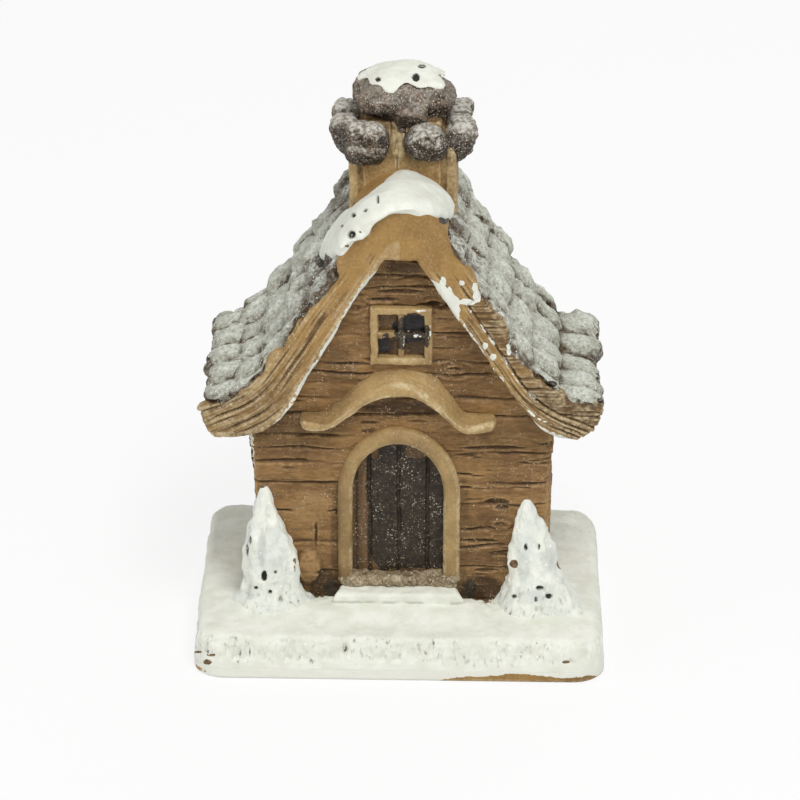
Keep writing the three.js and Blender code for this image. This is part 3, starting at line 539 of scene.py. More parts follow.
def cast_body(f, look, base, second, dark, rubbed_and_lit):
    """Patchy, mottled resin, with a board's long grain if it has one. Gives colour and height."""
    patches = f.ramp(f.noise(look["patch"], 4.0, look["stretch"]), 0.36, 0.64)
    color = f.mix(patches, base, second)
    fine = f.noise(0.32, 4.0, look["stretch"], shift=3.0)
    color = f.mix(f.ramp(fine, 0.45, 0.75, 0.0, look["mottle"]), color, dark)
    color = f.mix(f.ramp(fine, 0.5, 0.28, 0.0, 0.7 * look["mottle"]), color, rubbed_and_lit)
    height = f.noise(0.14)
    if look["grain"]:
        lines = f.noise(1.0, where=f.lengthwise())
        worn = f.times(f.ramp(lines, 0.52, 0.68), f.mark("worn"))
        color = f.mix(f.times(worn, 0.8), color, dark)
        color = f.mix(f.times(f.ramp(lines, 0.46, 0.3), f.mark("worn")), color, rubbed_and_lit)
        height = f.math("SUBTRACT", height, f.times(worn, 3.0))
    return color, height


def cast_coats_and_shading(f, look, color, dark, rubbed_and_lit, coat_and_shadow):
    """The wash mark's dark, which is wash and painted shade, the rub mark's pale, which is rubbed paint
    and painted highlights, and a dark coat, which at the wall's foot is painted shadow. Gives colour
    and the coat's share.
    """
    broken = f.ramp(f.noise(0.8, shift=5.0), 0.25, 0.5, 0.7, 1.0)
    color = f.mix(f.times(f.mark("wash_and_shade"), broken, look["wash_and_shade"]), color, dark)
    brushed = f.ramp(f.noise(0.45, 4.0, shift=7.0), 0.35, 0.62, 0.2, 1.0)
    color = f.mix(f.times(f.mark("rub_and_highlight"), brushed, look["rub_and_highlight"]), color, rubbed_and_lit)
    coat_and_shadow_share = f.ragged(f.mark("coat_and_shadow"), 0.5, 0.22, shift=9.0)
    uneven = f.ramp(f.noise(0.6, 4.0, shift=2.0), 0.35, 0.7)
    return f.mix(coat_and_shadow_share, color, f.mix(uneven, coat_and_shadow, tuple(c * 0.66 for c in coat_and_shadow))), coat_and_shadow_share


def cast_glitter(f, look, color):
    """Silver lines, white dabs and the two sizes of glitter, painted as glints."""
    gathered = f.ramp(f.noise(2.6, shift=11.0), *look["cluster"])
    lines = f.times(f.scribble(0.55, 0.02), gathered)
    color = f.mix(f.times(lines, look["scribble"]), color, look["silver"])
    color = f.mix(f.ragged(f.mark("paint"), 0.45, 0.42), color, WHITE_PAINT)
    dust = f.times(f.glinting_flakes(0.22, look["dust"], 0.38), f.math("ADD", gathered, 0.2))
    sparkle = f.math("MAXIMUM", dust, f.glinting_flakes(0.5, look["flake"], 0.2, 0.3), clamp=True)
    sparkle = f.times(sparkle, f.math("SUBTRACT", 1.0, f.mark("plain")))
    return f.mix(sparkle, color, look["silver"])


def cast_finish(name, base, second, dark, rubbed_and_lit, coat_and_shadow=DARK_COAT_AND_SHADOW, **choice):
    """Painted cast resin: a patchy base, the coats and painted light and shade on it, and glitter,
    painted as glints, over all.
    """
    look = {**CAST_LOOK, **choice}
    f = Finish(name)
    color, height = cast_body(f, look, base, second, dark, rubbed_and_lit)
    color, coat_and_shadow_share = cast_coats_and_shading(f, look, color, dark, rubbed_and_lit, coat_and_shadow)
    color = cast_glitter(f, look, color)
    rough = f.ramp(f.noise(1.1, 2.0, shift=4.0), 0.3, 0.7, look["rough"] - 0.1, look["rough"] + 0.12)
    rough = f.math("SUBTRACT", rough, f.times(coat_and_shadow_share, 0.16), clamp=True)
    return f.close(color, rough, height, look["grit"])


# The snow's white, the near-white painted glints of its glitter, and the specks' grey.
SNOW_WHITE, SNOW_GLITTER_GLINT, SPECK_GREY = (238, 240, 229), (252, 252, 250), (152, 152, 140)
STROKE_GREY, STROKE_BLACK = (160, 160, 146), (84, 80, 66)
SOIL_PALE, SOIL_DARK, PIT_BLACK = (132, 108, 76), (88, 72, 50), (40, 38, 30)


def snow_finish(name, shade=(184, 186, 176), low=(226, 227, 214), glitter=0.1):
    """Thick off-white paint: faint painted shade in its hollows, grey specks, pinholes, a little
    glitter painted as glints.
    """
    f = Finish(name)
    color = f.mix(f.ramp(f.noise(2.2, 4.0), 0.35, 0.65), SNOW_WHITE, low)
    color = f.mix(f.times(f.mark("wash_and_shade"), 0.85), color, shade)
    color = f.mix(f.ramp(f.noise(0.24, shift=3.0), 0.66, 0.74, 0.0, 0.3), color, SPECK_GREY)
    stroke = f.noise(0.5, 4.0, (1.0, 1.0, 0.42), shift=8.0)
    color = f.mix(f.times(f.ramp(stroke, 0.56, 0.66, 0.0, 0.55), f.mark("rough")), color, STROKE_GREY)
    black = f.times(f.ramp(stroke, 0.68, 0.72), f.mark("rough"))
    color = f.mix(black, color, STROKE_BLACK)
    soil = f.mix(f.ramp(f.noise(0.6), 0.4, 0.6), SOIL_PALE, SOIL_DARK)
    color = f.mix(f.ragged(f.mark("bare"), 0.5, 0.3, shift=6.0), color, soil)
    color = f.mix(f.mark("pit"), color, PIT_BLACK)
    color = f.mix(f.glinting_flakes(0.42, glitter), color, SNOW_GLITTER_GLINT)
    rough = f.ramp(f.noise(0.8, 2.0), 0.3, 0.7, 0.48, 0.66)
    height = f.math("SUBTRACT", f.noise(0.2, 4.0), f.times(black, 2.0))
    return f.close(color, rough, height, 0.024, 0.3)


# Each cast finish: base, second base, dark of wash and painted shade, pale of rubbing and painted
# highlights and, where it differs, coat.
PLANK_COLORS = (148, 114, 70), (122, 91, 55), (62, 44, 25), (178, 144, 98)
BOARD_COLORS = (168, 133, 78), (150, 117, 68), (86, 63, 38), (208, 188, 150)
TRIM_COLORS = (180, 151, 101), (163, 135, 89), (104, 80, 50), (216, 198, 158)
CHIMNEY_COLORS = (178, 148, 100), (158, 128, 82), (92, 68, 42), (214, 194, 150)
SILL_COLORS = (160, 144, 116), (136, 118, 90), (88, 70, 48), (200, 190, 166)
DOOR_COLORS = (108, 82, 54), (92, 70, 46), (46, 35, 24), (140, 112, 78), (56, 46, 34)
PANE_COLORS = (104, 80, 50), (86, 66, 42), (48, 36, 26), (132, 104, 70), (46, 41, 44)
TILE_COLORS = (190, 193, 178), (170, 170, 154), (84, 68, 50), (226, 230, 220), (62, 48, 34)
STONE_COLORS = (104, 82, 60), (80, 62, 46), (40, 30, 22), (200, 198, 188)

plank_finish = cast_finish("plank_resin", *PLANK_COLORS, stretch=(0.35, 0.35, 1.5), dust=0.3)
board_finish = cast_finish("board_resin", *BOARD_COLORS, grain=True, dust=0.25, mottle=0.2)
trim_finish = cast_finish("trim_resin", *TRIM_COLORS, rough=0.5, mottle=0.2, dust=0.22)
chimney_finish = cast_finish("chimney_resin", *CHIMNEY_COLORS, patch=2.2, dust=0.3)
sill_look = {"patch": 0.9, "mottle": 0.6, "dust": 0.7, "cluster": (0.25, 0.5)}
sill_finish = cast_finish("sill_resin", *SILL_COLORS, **sill_look)
door_look = {"stretch": (2.0, 2.0, 0.3), "rough": 0.52, "dust": 0.42, "cluster": (0.38, 0.6)}
door_finish = cast_finish("door_paint", *DOOR_COLORS, silver=(186, 178, 160), **door_look)
pane_finish = cast_finish("pane_paint", *PANE_COLORS, rough=0.45, dust=0.3)
tile_look = {"patch": 1.1, "mottle": 0.5, "grit": 0.035, "wash_and_shade": 1.0, "dust": 0.5, "flake": 0.08}
tile_look.update(cluster=(0.35, 0.6), silver=(240, 242, 236))
tile_finish = cast_finish("tile_paint", *TILE_COLORS, **tile_look)
stone_look = {"patch": 1.2, "rub_and_highlight": 1.0, "rough": 0.5, "grit": 0.04, "dust": 0.75, "flake": 0.08}
stone_look.update(cluster=(0.3, 0.55), silver=(206, 200, 186), scribble=0.4)
stone_finish = cast_finish("stone_paint", *STONE_COLORS, **stone_look)
snow_paint = snow_finish("snow_paint")
ground_paint = snow_finish("ground_snow_paint", shade=(178, 180, 165), low=(228, 230, 216))
fir_paint = snow_finish("fir_snow_paint", shade=(168, 174, 170), low=(222, 226, 218), glitter=0.2)


# The roof line: a level eave, a hollow bell, a steep slope and a rounded ridge.
EAVE_SLOPE, EAVE_RUN, BELL_RADIUS = math.radians(22), 3.4, 8.6
ROOF_SLOPE, RIDGE_RADIUS = math.radians(57), 4.88
HALF_SPAN, EAVE_Z = 21.7, 29.3
SLOPE_START = EAVE_RUN + BELL_RADIUS * (ROOF_SLOPE - EAVE_SLOPE)
BELL_X = HALF_SPAN - EAVE_RUN * math.cos(EAVE_SLOPE) + math.sin(EAVE_SLOPE) * BELL_RADIUS
BELL_Z = EAVE_Z + EAVE_RUN * math.sin(EAVE_SLOPE) + math.cos(EAVE_SLOPE) * BELL_RADIUS
FOOT_X = BELL_X - math.sin(ROOF_SLOPE) * BELL_RADIUS
FOOT_Z = BELL_Z - math.cos(ROOF_SLOPE) * BELL_RADIUS
SLOPE_LENGTH = (FOOT_X - RIDGE_RADIUS * math.sin(ROOF_SLOPE)) / math.cos(ROOF_SLOPE)
RIDGE_START = SLOPE_START + SLOPE_LENGTH
RIDGE_Z = FOOT_Z + SLOPE_LENGTH * math.sin(ROOF_SLOPE) - RIDGE_RADIUS * math.cos(ROOF_SLOPE)
ROOF_LENGTH = RIDGE_START + RIDGE_RADIUS * ROOF_SLOPE


def roof_point(station, height):
    """x and z on the right-hand side, station along the roof from the eave, height above its mean."""
    s, h = np.broadcast_arrays(np.asarray(station, float), np.asarray(height, float))
    x0 = HALF_SPAN - s * math.cos(EAVE_SLOPE) + math.sin(EAVE_SLOPE) * h
    z0 = EAVE_Z + s * math.sin(EAVE_SLOPE) + math.cos(EAVE_SLOPE) * h
    turn = EAVE_SLOPE + (s - EAVE_RUN) / BELL_RADIUS
    x1 = BELL_X - np.sin(turn) * (BELL_RADIUS - h)
    z1 = BELL_Z - np.cos(turn) * (BELL_RADIUS - h)
    climb = s - SLOPE_START
    x2 = FOOT_X - climb * math.cos(ROOF_SLOPE) + math.sin(ROOF_SLOPE) * h
    z2 = FOOT_Z + climb * math.sin(ROOF_SLOPE) + math.cos(ROOF_SLOPE) * h
    top = ROOF_SLOPE - (s - RIDGE_START) / RIDGE_RADIUS
    x3 = np.sin(top) * (RIDGE_RADIUS + h)
    z3 = RIDGE_Z + np.cos(top) * (RIDGE_RADIUS + h)
    stretches = [s <= EAVE_RUN, s <= SLOPE_START, s <= RIDGE_START]
    return np.select(stretches, [x0, x1, x2], x3), np.select(stretches, [z0, z1, z2], z3)


def along_roof(p):
    """Station along the nearest side of the roof and height above it, for points in space."""
    stations = np.linspace(-1, ROOF_LENGTH, 400)
    x, z = roof_point(stations, 0)
    ax = np.abs(p[:, 0])
    best, station = np.full(len(p), 1e9), np.zeros(len(p))
    for s, cx, cz in zip(stations, x, z):
        d = (ax - cx) ** 2 + (p[:, 2] - cz) ** 2
        closer = d < best
        best = np.where(closer, d, best)
        station = np.where(closer, s, station)
    cx, cz = roof_point(station, 0)
    ux, uz = roof_point(station, 1)
    height = (ax - cx) * (ux - cx) + (p[:, 2] - cz) * (uz - cz)
    return station, height


# Tiles, cut from a grid over the unrolled roof: station, place along the eave and height.
COURSES, EXPOSURE, TILES_IN_COURSE = 6, 4.35, 5
TILE_STEP = 0.15
TILE_BED, BED_UNDER, BED_REACH = -0.6, -1.45, 13.8
TILE_OVERLAP, TILE_TILT = 1.1, 0.17
# How square a tile's plan is and how flat its face: 2 is round.
PLAN_POWER, DOME_POWER = 3.6, 2.3
TILE_GRID_LOW = np.array([-1.6, ROOF_FRONT - 0.9, -1.6])
TILE_GRID_HIGH = np.array([28.6, ROOF_REAR + 0.9, 2.1])
# How far up the roof each course's lower edge is moved, and the eave tiles' relative widths.
BUTT_SHIFTS = {-1: (-0.1, -0.8, -0.8, -0.5, -0.9, -1.0), 1: (-0.2, 0.4, -0.1, 0.5, 0.7, 0.5)}
EAVE_TILES = {-1: (4.6, 4.7, 4.5, 5.5, 5.6), 1: (4.2, 4.6, 5.2, 5.7, 5.2)}


def tile_block(u, v, w, half):
    """A block with a squarish plan of rounded corners and a domed face."""
    a, b, c = half
    plan = (np.abs(u / a) ** PLAN_POWER + np.abs(v / b) ** PLAN_POWER) ** (1 / PLAN_POWER)
    dome = (plan**DOME_POWER + np.abs(w / c) ** DOME_POWER) ** (1 / DOME_POWER)
    return plan, (dome - 1) * min(half)


def tile_edges(course, side, random):
    """Where the joints between a course's tiles lie, from front to rear."""
    start, end = ROOF_FRONT + 0.15, ROOF_REAR + 0.35
    if course == 0:
        widths = np.array(EAVE_TILES[side])
        return start + np.concatenate([[0], np.cumsum(widths)]) * (end - start) / widths.sum()
    width = (end - start) / TILES_IN_COURSE
    shift = 0.5 if course % 2 else 0.0
    inner = [start + (k + shift) * width + random.uniform(-0.5, 0.5) for k in range(TILES_IN_COURSE)]
    inner = [e for e in inner if start + 1.5 < e < end - 1.5]
    return np.array([start] + inner + [end])


def lay_tile(field, rim, axes, side, course, front, rear, random, foremost):
    """Joins one tile to the field, and notes in rim each place's share of the way to its edge."""
    forward = random.uniform(0.0, 0.3) if foremost else 0.0
    half_width = (rear - front + forward) / 2 + random.uniform(-0.05, 0.06)
    middle = (front - forward + rear) / 2
    butt = course * EXPOSURE + BUTT_SHIFTS[side][course] + random.uniform(-0.3, 0.3)
    if course == 0 and side < 0 and middle < -3:
        butt += 0.5
    half_length = (EXPOSURE + TILE_OVERLAP) / 2
    half_height = random.uniform(1.35, 1.7)
    tilt = TILE_TILT + random.uniform(-0.07, 0.07)
    center_height = random.uniform(-0.95, -0.6) - (0.2 if side > 0 else 0)
    lean = random.uniform(-0.12, 0.12)
    skew = random.uniform(-0.16, 0.16)
    window = (
        slice(*np.searchsorted(axes[0], (butt - 0.7, butt + 2 * half_length + 0.7))),
        slice(*np.searchsorted(axes[1], (middle - half_width - 0.5, middle + half_width + 0.5))),
    )
    h = axes[2][None, None, :]
    under = 1.2 * np.clip(0.5 - h, 0, 0.6) if foremost else 0.0
    v = axes[1][window[1]][None, :, None] - middle - under
    u = axes[0][window[0]][:, None, None] - butt - half_length - skew * v
    w = h - center_height - lean * v
    along = u * math.cos(tilt) - w * math.sin(tilt)
    above = w * math.cos(tilt) + u * math.sin(tilt)
    plan, tile = tile_block(along, v, above, (half_length, half_width, half_height))
    tile = np.maximum(tile, -1.35 - h)
    rim[window] = np.where(tile < field[window], plan, rim[window])
    field[window] = soft_min(field[window], tile, 0.05)


def tile_field(axes, side):
    """The bed with all its tiles, and each place's share of the way to its tile's rim."""
    s, y, h = spread(axes)
    middle, half = (ROOF_FRONT + ROOF_REAR) / 2, (ROOF_REAR - ROOF_FRONT) / 2
    bed = (BED_REACH, half - 0.4, (TILE_BED - BED_UNDER) / 2)
    bed_height = (TILE_BED + BED_UNDER) / 2
    field = rounded_box(s - BED_REACH - 0.4, y - middle - 0.3, h - bed_height, bed, 0.1)
    field = np.array(np.broadcast_to(field, [len(a) for a in axes]))
    rim = np.ones(field.shape)
    random = np.random.default_rng(31 + side)
    for course in range(COURSES):
        edges = tile_edges(course, side, random)
        for number, (front, rear) in enumerate(zip(edges[:-1], edges[1:])):
            lay_tile(field, rim, axes, side, course, front, rear, random, number == 0)
    return field, rim


def tiles(side):
    """One side's tiles, rolled onto the roof, roughened and painted."""
    low, high = TILE_GRID_LOW, TILE_GRID_HIGH
    axes = [np.arange(a, b + TILE_STEP, TILE_STEP) for a, b in zip(low, high)]
    field, rim = tile_field(axes, side)
    skin = skin_of_values(field, low, TILE_STEP)
    station, across, height = skin.p.T.copy()
    at = np.rint((skin.p - low) / TILE_STEP).astype(int)
    rim = rim[tuple(np.clip(at, 0, np.array(rim.shape) - 1).T)]
    x, z = roof_point(station, height)
    skin.p = np.stack([side * x, across, z], 1)
    skin.face_out()
    lumps = 0.3 * np.clip(2.4 * fbm(skin.p, 1.9, 5, 1), -0.9, 0.5)
    lumps = lumps + 0.24 * fbm(skin.p, 0.85, 9, 3)
    chips = np.minimum(fbm(skin.p, 1.0, 15, 2) + 0.3, 0) * 0.6
    skin.push((lumps + chips) * between(height, -1.2, -0.9))
    skin.darken_hollows_lighten_heights(0.035, 0.13)
    paint_tiles(skin, side, station, across, height, rim)
    return skin


def paint_tiles(skin, side, station, across, height, rim):
    """Brown in the gaps and low places, pale rubbed middles, and a dark gloss under the eave."""
    ux, uz = roof_point(station, height + 1)
    outward = np.stack([side * ux, across, uz], 1) - skin.p
    facing = (skin.normals() * outward).sum(1) / np.linalg.norm(outward, axis=1)
    low_lying = between(height, -0.1, -0.6)
    crevice = between(rim + 0.45 * fbm(skin.p, 1.1, 23, 3), 0.82, 1.02)
    steep = between(facing, 0.5, 0.1)
    rear_top = between(station, 20.0, 27.0)
    front_top = between(station, 9.0, 20.0) * between(across, -2.0, -8.0)
    patchy = 0.5 + 0.9 * fbm(skin.p, 2.4, 21, 2)
    brown = 0.9 * low_lying + 0.9 * crevice + 0.4 * steep + (0.6 * front_top + 0.5 * rear_top) * patchy
    brown = brown * (1.0 if side < 0 else 0.8) + spots(skin.p, TILE_SHADE) + (0.14 if side < 0 else 0.0)
    skin.add("wash_and_shade", brown, keep=0.7)
    skin.add("rub_and_highlight", 0.8 * between(0.75 - rim, 0, 0.5) * (1 - steep), keep=0.5)
    glossy = between(station, 1.0, 0.2) * between(fbm(skin.p, 2.2, 27, 2), -0.15, 0.05)
    skin.marks["coat_and_shadow"] = np.clip(glossy * (0.9 if side < 0 else 0.6) + spots(skin.p, TILE_COAT), 0, 1)


# Brown places on the tiles, in the picture: x, y, half width, half height, strength.
TILE_SHADE = (
    (322, 264, 10, 9, 1.0), (312, 290, 14, 30, 0.5), (455, 235, 10, 26, 0.8), (470, 262, 14, 12, 0.7),
    (500, 315, 8, 8, 0.6), (338, 190, 12, 30, 0.5), (462, 200, 8, 16, 0.5),
)
TILE_COAT = (
    (322, 262, 7, 6, 0.8), (444, 219, 6, 6, 1.4), (447, 240, 4, 15, 0.8), (552, 384, 5, 3, 1.2),
)

for hand, side in (("left", -1), ("right", 1)):
    nodes = [f"tile_course_{hand}_{course + 1}" for course in range(COURSES)]
    place(f"tiles_{hand}", tiles(side), tile_finish, "roof_tiles", *nodes)


# Planked walls, with the heights of the joints between their planks.
LEFT_JOINTS = (9.2, 12.6, 16.2, 19.6, 22.1, 23.8, 25.4)
RIGHT_JOINTS = (9.5, 12.2, 14.4, 17.2, 19.8, 23.7)
GABLE_JOINTS = (28.0, 29.9, 32.8, 34.0, 37.4, 40.7, 42.9, 44.3, 46.1)
PLAIN_JOINTS = tuple(np.arange(6.7, 50, 2.7))
FOOT_SHIFT = 0.7


def wall_lean(z):
    """How far the walls have leaned outwards at a height."""
    return (EAVE_HALF - FOOT_HALF) * (z - SOCKET_FLOOR) / (EAVE_UNDER - SOCKET_FLOOR)


def foot_shift(z):
    """The casting leans a little: its foot stands to the right of its eaves."""
    return FOOT_SHIFT * (1 - between(z, SOCKET_FLOOR, EAVE_UNDER - 0.6))


def planks(p, z, joints, seed, knots=()):
    """Depth of carving at place p along the wall and height z, with the share of wash in it."""
    q = np.stack([p, z, np.full(len(p), seed * 3.7)], 1)
    warp, rings = np.zeros(len(p)), np.zeros(len(p))
    for kp, kz, radius, lift in knots:
        d2 = ((p - kp) / (1.7 * radius)) ** 2 + ((z - kz) / radius) ** 2
        fall = np.exp(-d2)
        warp += lift * fall * np.tanh((z - kz) * 3)
        rings += np.sin(np.sqrt(d2) * radius * 9.0) * fall * 0.12
    zz = z - warp
    depth, lines, course = np.zeros(len(p)), np.zeros(len(p)), np.zeros(len(p))
    for number, joint in enumerate(joints):
        spot = np.stack([p, np.full(len(p), joint * 1.3), np.full(len(p), float(seed))], 1)
        wander = 0.3 * noise(spot, 6.0, seed) + 0.1 * noise(spot, 1.3, seed + 1)
        strength = between(noise(spot, 3.4, seed + 2), -0.4, 0.35)
        width = 0.15 + 0.08 * noise(spot, 1.9, seed + 3)
        groove = np.exp(-(((zz - joint - wander) / width) ** 2)) * (0.25 + 0.75 * strength)
        depth = np.maximum(depth, 0.38 * groove)
        lines = np.maximum(lines, groove * (0.35 + 0.65 * strength))
        forward = ((number * 7 + seed) % 5) / 4 - 0.5
        course += between(zz - joint - wander, -0.15, 0.15) * forward * 0.26
    qq = np.stack([p, zz, q[:, 2]], 1)
    busy = between(fbm(q, (7.0, 4.0, 4.0), seed + 9, 2), -0.25, 0.35)
    cracks = between(fbm(qq, (3.0, 0.5, 3.0), seed + 4, 2), 0.34, 0.62) * busy
    streaks = fbm(qq, (3.4, 0.6, 3.4), seed + 5, 3)
    grain = fbm(qq, (1.6, 0.22, 1.6), seed + 6, 2)
    rough = fbm(q, 0.9, seed + 7, 3)
    fine = (0.02 + 0.03 * busy) * grain
    depth += 0.26 * cracks - 0.1 * streaks - fine - 0.08 * rough - course + rings
    return depth, np.clip(np.maximum(lines, 0.8 * cracks) - 0.8 * rings, 0, 1)


GABLE_UNDER = -2.8
gable_x, gable_z = roof_point(np.linspace(0, ROOF_LENGTH, 500), GABLE_UNDER)


def gable_half(z):
    """Half the width of an end wall at a height."""
    low = FOOT_HALF + wall_lean(z)
    if z < 26:
        return low
    return min(low, float(np.interp(z, gable_z, gable_x)))


WALL_FOOT, WALL_TOP, SIDE_TOP = 4.3, 48.2, 28.0


def end_wall(face, back, carving, seed, columns, step, knots, recesses=()):
    """A planked end wall: loops round it at each height, carved on its face."""
    heights = np.arange(WALL_FOOT, WALL_TOP, step)
    loops = []
    for z in heights:
        half = gable_half(z)
        x = np.concatenate([[-half, -half], np.linspace(-half, half, columns), [half, half]])
        y = np.full(len(x), face, float)
        y[[0, -1]] = back
        y[[1, -2]] = (face + back) / 2
        loops.append(np.stack([x + foot_shift(z), y, np.full(len(x), z)], 1))
    skin = tube(loops)
    z = skin.z
    inward = math.copysign(1.0, back - face)
    on_face = np.abs(skin.y - face) < 0.01
    along = skin.x - foot_shift(z)
    depth, lines = carving(along, z, seed, knots)
    half = np.array([gable_half(h) for h in heights]).repeat(columns + 4)
    edge = half - np.abs(along)
    worn_corner = np.clip(1 - edge / 0.8, 0, 1) ** 2
    calm = np.zeros(len(z))
    swell = np.zeros(len(z))
    if inward > 0:
        calm = between(spots(skin.p, CALM_PLACES), 0, 1)
        swell = 0.6 * between(spots(skin.p, WALL_SWELLS), 0, 1)
        dents = spots(skin.p, WALL_GOUGES)
        depth = depth + 0.5 * dents
        lines = np.clip(lines + dents, 0, 1)
    depth = depth * (1 - 0.85 * calm) - swell
    for outline in recesses:
        opening = polygon_distance(outline, skin.x, z)
        sunk = between(between(opening, 0.55, 0.4), 0, 1)
        depth = depth + (SKIN - 0.05 - depth) * sunk
    skin.p[:, 1] += np.where(on_face, inward * (depth + 0.6 * worn_corner), 0)
    jag = 0.3 * fbm(np.stack([np.sign(along) * 5, z * 0 + seed, z], 1), 0.9, seed + 8, 2) - 0.12
    jag -= 0.3 * np.where(edge < 0.3, lines, 0)
    skin.p[:, 0] += np.sign(along) * jag * np.clip(1 - edge / 0.9, 0, 1)
    skin.darken_hollows_lighten_heights(0.03, 0.14)
    foot = between(z, 9.6, 5.2) * 0.7
    gable_top_shade = between(z, 45.0, 47.2) * 0.5
    # Darker towards the foot, and painted shade high on the gable under the boards, over the wash and
    # the dark joints.
    wash_and_shade = 0.6 * skin.marks["wash_and_shade"] + 0.85 * lines * (1 - calm) + foot + gable_top_shade
    if inward > 0:
        # Painted shade under the hood, the boards and the peak, beside the door frame and at the foot.
        wash_and_shade = wash_and_shade + spots(skin.p, WALL_SHADE) - 0.6 * calm
        skin.marks["paint"] = between(skin.x, -15.7, -16.1) * between(z, 20.6, 21.6) * 0.75
        # Rubbed paler places, among them a painted highlight down the right corner.
        skin.add("rub_and_highlight", spots(skin.p, WALL_RUBS))
        # Painted shadow, nearly black, in the hollows at the wall's foot on each side of the step.
        skin.marks["coat_and_shadow"] = spots(skin.p, WALL_FOOT_SHADOW)
    skin.marks["wash_and_shade"] = np.clip(wash_and_shade, 0, 1)
    return skin


# Features of the front wall, in the picture: x, y, half width, half height, strength.
CALM_PLACES = ((312, 506, 19, 17, 1.0), (345, 392, 22, 10, 0.5))
WALL_SWELLS = ((309, 566, 11, 15, 1.0),)
WALL_GOUGES = (
    (497, 502, 11, 3, 0.9), (502, 508, 6, 2, 0.8), (492, 448, 28, 2, 0.7), (479, 541, 17, 1.6, 0.6),
    (486, 570, 10, 1.6, 0.6), (316, 530, 1.5, 15, 0.5), (400, 292, 20, 2, 0.7),
    (382, 300, 14, 1.5, 0.6), (430, 305, 12, 1.5, 0.6),
)
# Painted shade: in the hollows at the wall's foot, beside the door frame, under the hood, low on the
# right, and high on the gable under the boards and the peak, where the paint is darker too.
WALL_SHADE = (
    (326, 588, 14, 18, 1.1), (482, 590, 20, 14, 1.1), (403, 268, 18, 10, 0.8), (336, 540, 5, 50, 0.6),
    (464, 530, 5, 60, 0.4), (405, 408, 46, 9, 0.9), (290, 428, 46, 22, 0.45), (520, 438, 40, 22, 0.3),
    (458, 368, 34, 36, 0.3), (403, 290, 30, 22, 0.4), (340, 375, 14, 26, 0.35),
    (488, 545, 26, 36, 0.35),
)
# Painted shadow, nearly black, in the hollows at the wall's foot on each side of the step.
WALL_FOOT_SHADOW = ((331, 592, 8, 13, 0.75), (470, 590, 7, 11, 0.7))
# Rubbed paler places; the first is a painted highlight down the wall's right corner.
WALL_RUBS = ((551, 466, 3, 26, 0.7), (312, 506, 19, 17, 0.45), (311, 562, 9, 12, 0.6))


def front_carving(along, z, seed, knots):
    """Planks whose joints differ on the left and right of the door."""
    left, left_lines = planks(along, z, LEFT_JOINTS + GABLE_JOINTS, seed, knots)
    right, right_lines = planks(along, z, RIGHT_JOINTS + GABLE_JOINTS, seed + 20, knots)
    share = between(along, -1.0, 1.0)
    return left + (right - left) * share, left_lines + (right_lines - left_lines) * share


def plain_carving(along, z, seed, knots):
    """Planks with even joints, for the rear."""
    return planks(along, z, PLAIN_JOINTS, seed, knots)


def arch(center, half, bottom, top, rise):
    """Outline of an opening with upright sides and an arched head."""
    angles = np.linspace(0, math.pi, 40)
    curve = np.stack([center + half * np.cos(angles), top - rise + rise * np.sin(angles)], 1)
    return np.concatenate([[[center - half, bottom], [center + half, bottom]], curve])


def square(half):
    """Outline of a square round the window's middle."""
    return np.array([(-half, -half), (half, -half), (half, half), (-half, half)]) + (WINDOW_X, WINDOW_Z)


doorway = arch(DOOR_X - 0.12, DOOR_HALF + 0.4, SILL_TOP - 0.6, DOOR_TOP, DOOR_RISE)
# Knots in the planks: place along the wall, height, radius and how far they bend the grain.
FRONT_KNOTS = (
    (5.8, 33.3, 1.4, 0.5), (3.6, 41.0, 1.1, 0.4), (10.6, 14.8, 1.2, 0.4), (-4.8, 40.5, 1.0, 0.3),
)
REAR_KNOTS = ((-6.0, 20.0, 1.2, 0.4), (7.5, 31.0, 1.1, 0.4), (2.0, 12.0, 1.3, 0.4))
openings = (doorway, square(WINDOW_HALF))
skin = end_wall(HOUSE_FRONT, HOUSE_FRONT + SKIN, front_carving, 3, 262, 0.13, FRONT_KNOTS, openings)
place("front_planking", skin, plank_finish, "brown_resin", "front_wall")
skin = end_wall(HOUSE_REAR, HOUSE_REAR - SKIN, plain_carving, 8, 190, 0.17, REAR_KNOTS)
place("rear_planking", skin, plank_finish, "brown_resin", "rear_wall")


def side_wall(side, seed):
    """A planked side wall: loops round it at each height, carved on its outer face."""
    columns, step = 130, 0.15
    heights = np.arange(WALL_FOOT, SIDE_TOP, step)
    front_y, rear_y = HOUSE_FRONT + SKIN - 0.3, HOUSE_REAR - SKIN + 0.3
    along = np.linspace(front_y, rear_y, columns)
    loops = []
    for z in heights:
        face = FOOT_HALF + wall_lean(z)
        x = np.concatenate([np.full(columns, face), [face - SKIN, face - SKIN]])
        y = np.concatenate([along, [rear_y, front_y]])
        loops.append(np.stack([side * x + foot_shift(z), y, np.full(len(x), z)], 1))
    skin = tube(loops)
    z = skin.z
    face = side * (FOOT_HALF + wall_lean(z)) + foot_shift(z)
    on_face = np.abs(skin.x - face) < 0.01
    knots = ((40 * side + 3, 15, 1.2, 0.4),)
    depth, lines = planks(skin.y + 40 * side, z, PLAIN_JOINTS, seed, knots)
    skin.p[:, 0] -= np.where(on_face, side * depth, 0)
    skin.darken_hollows_lighten_heights(0.03, 0.14)
    foot = between(z, 9.6, 5.2) * 0.7
    skin.add("wash_and_shade", 0.95 * lines + foot, keep=0.6)
    return skin


place("left_planking", side_wall(-1, 12), plank_finish, "brown_resin", "left_wall")
place("right_planking", side_wall(1, 17), plank_finish, "brown_resin", "right_wall")


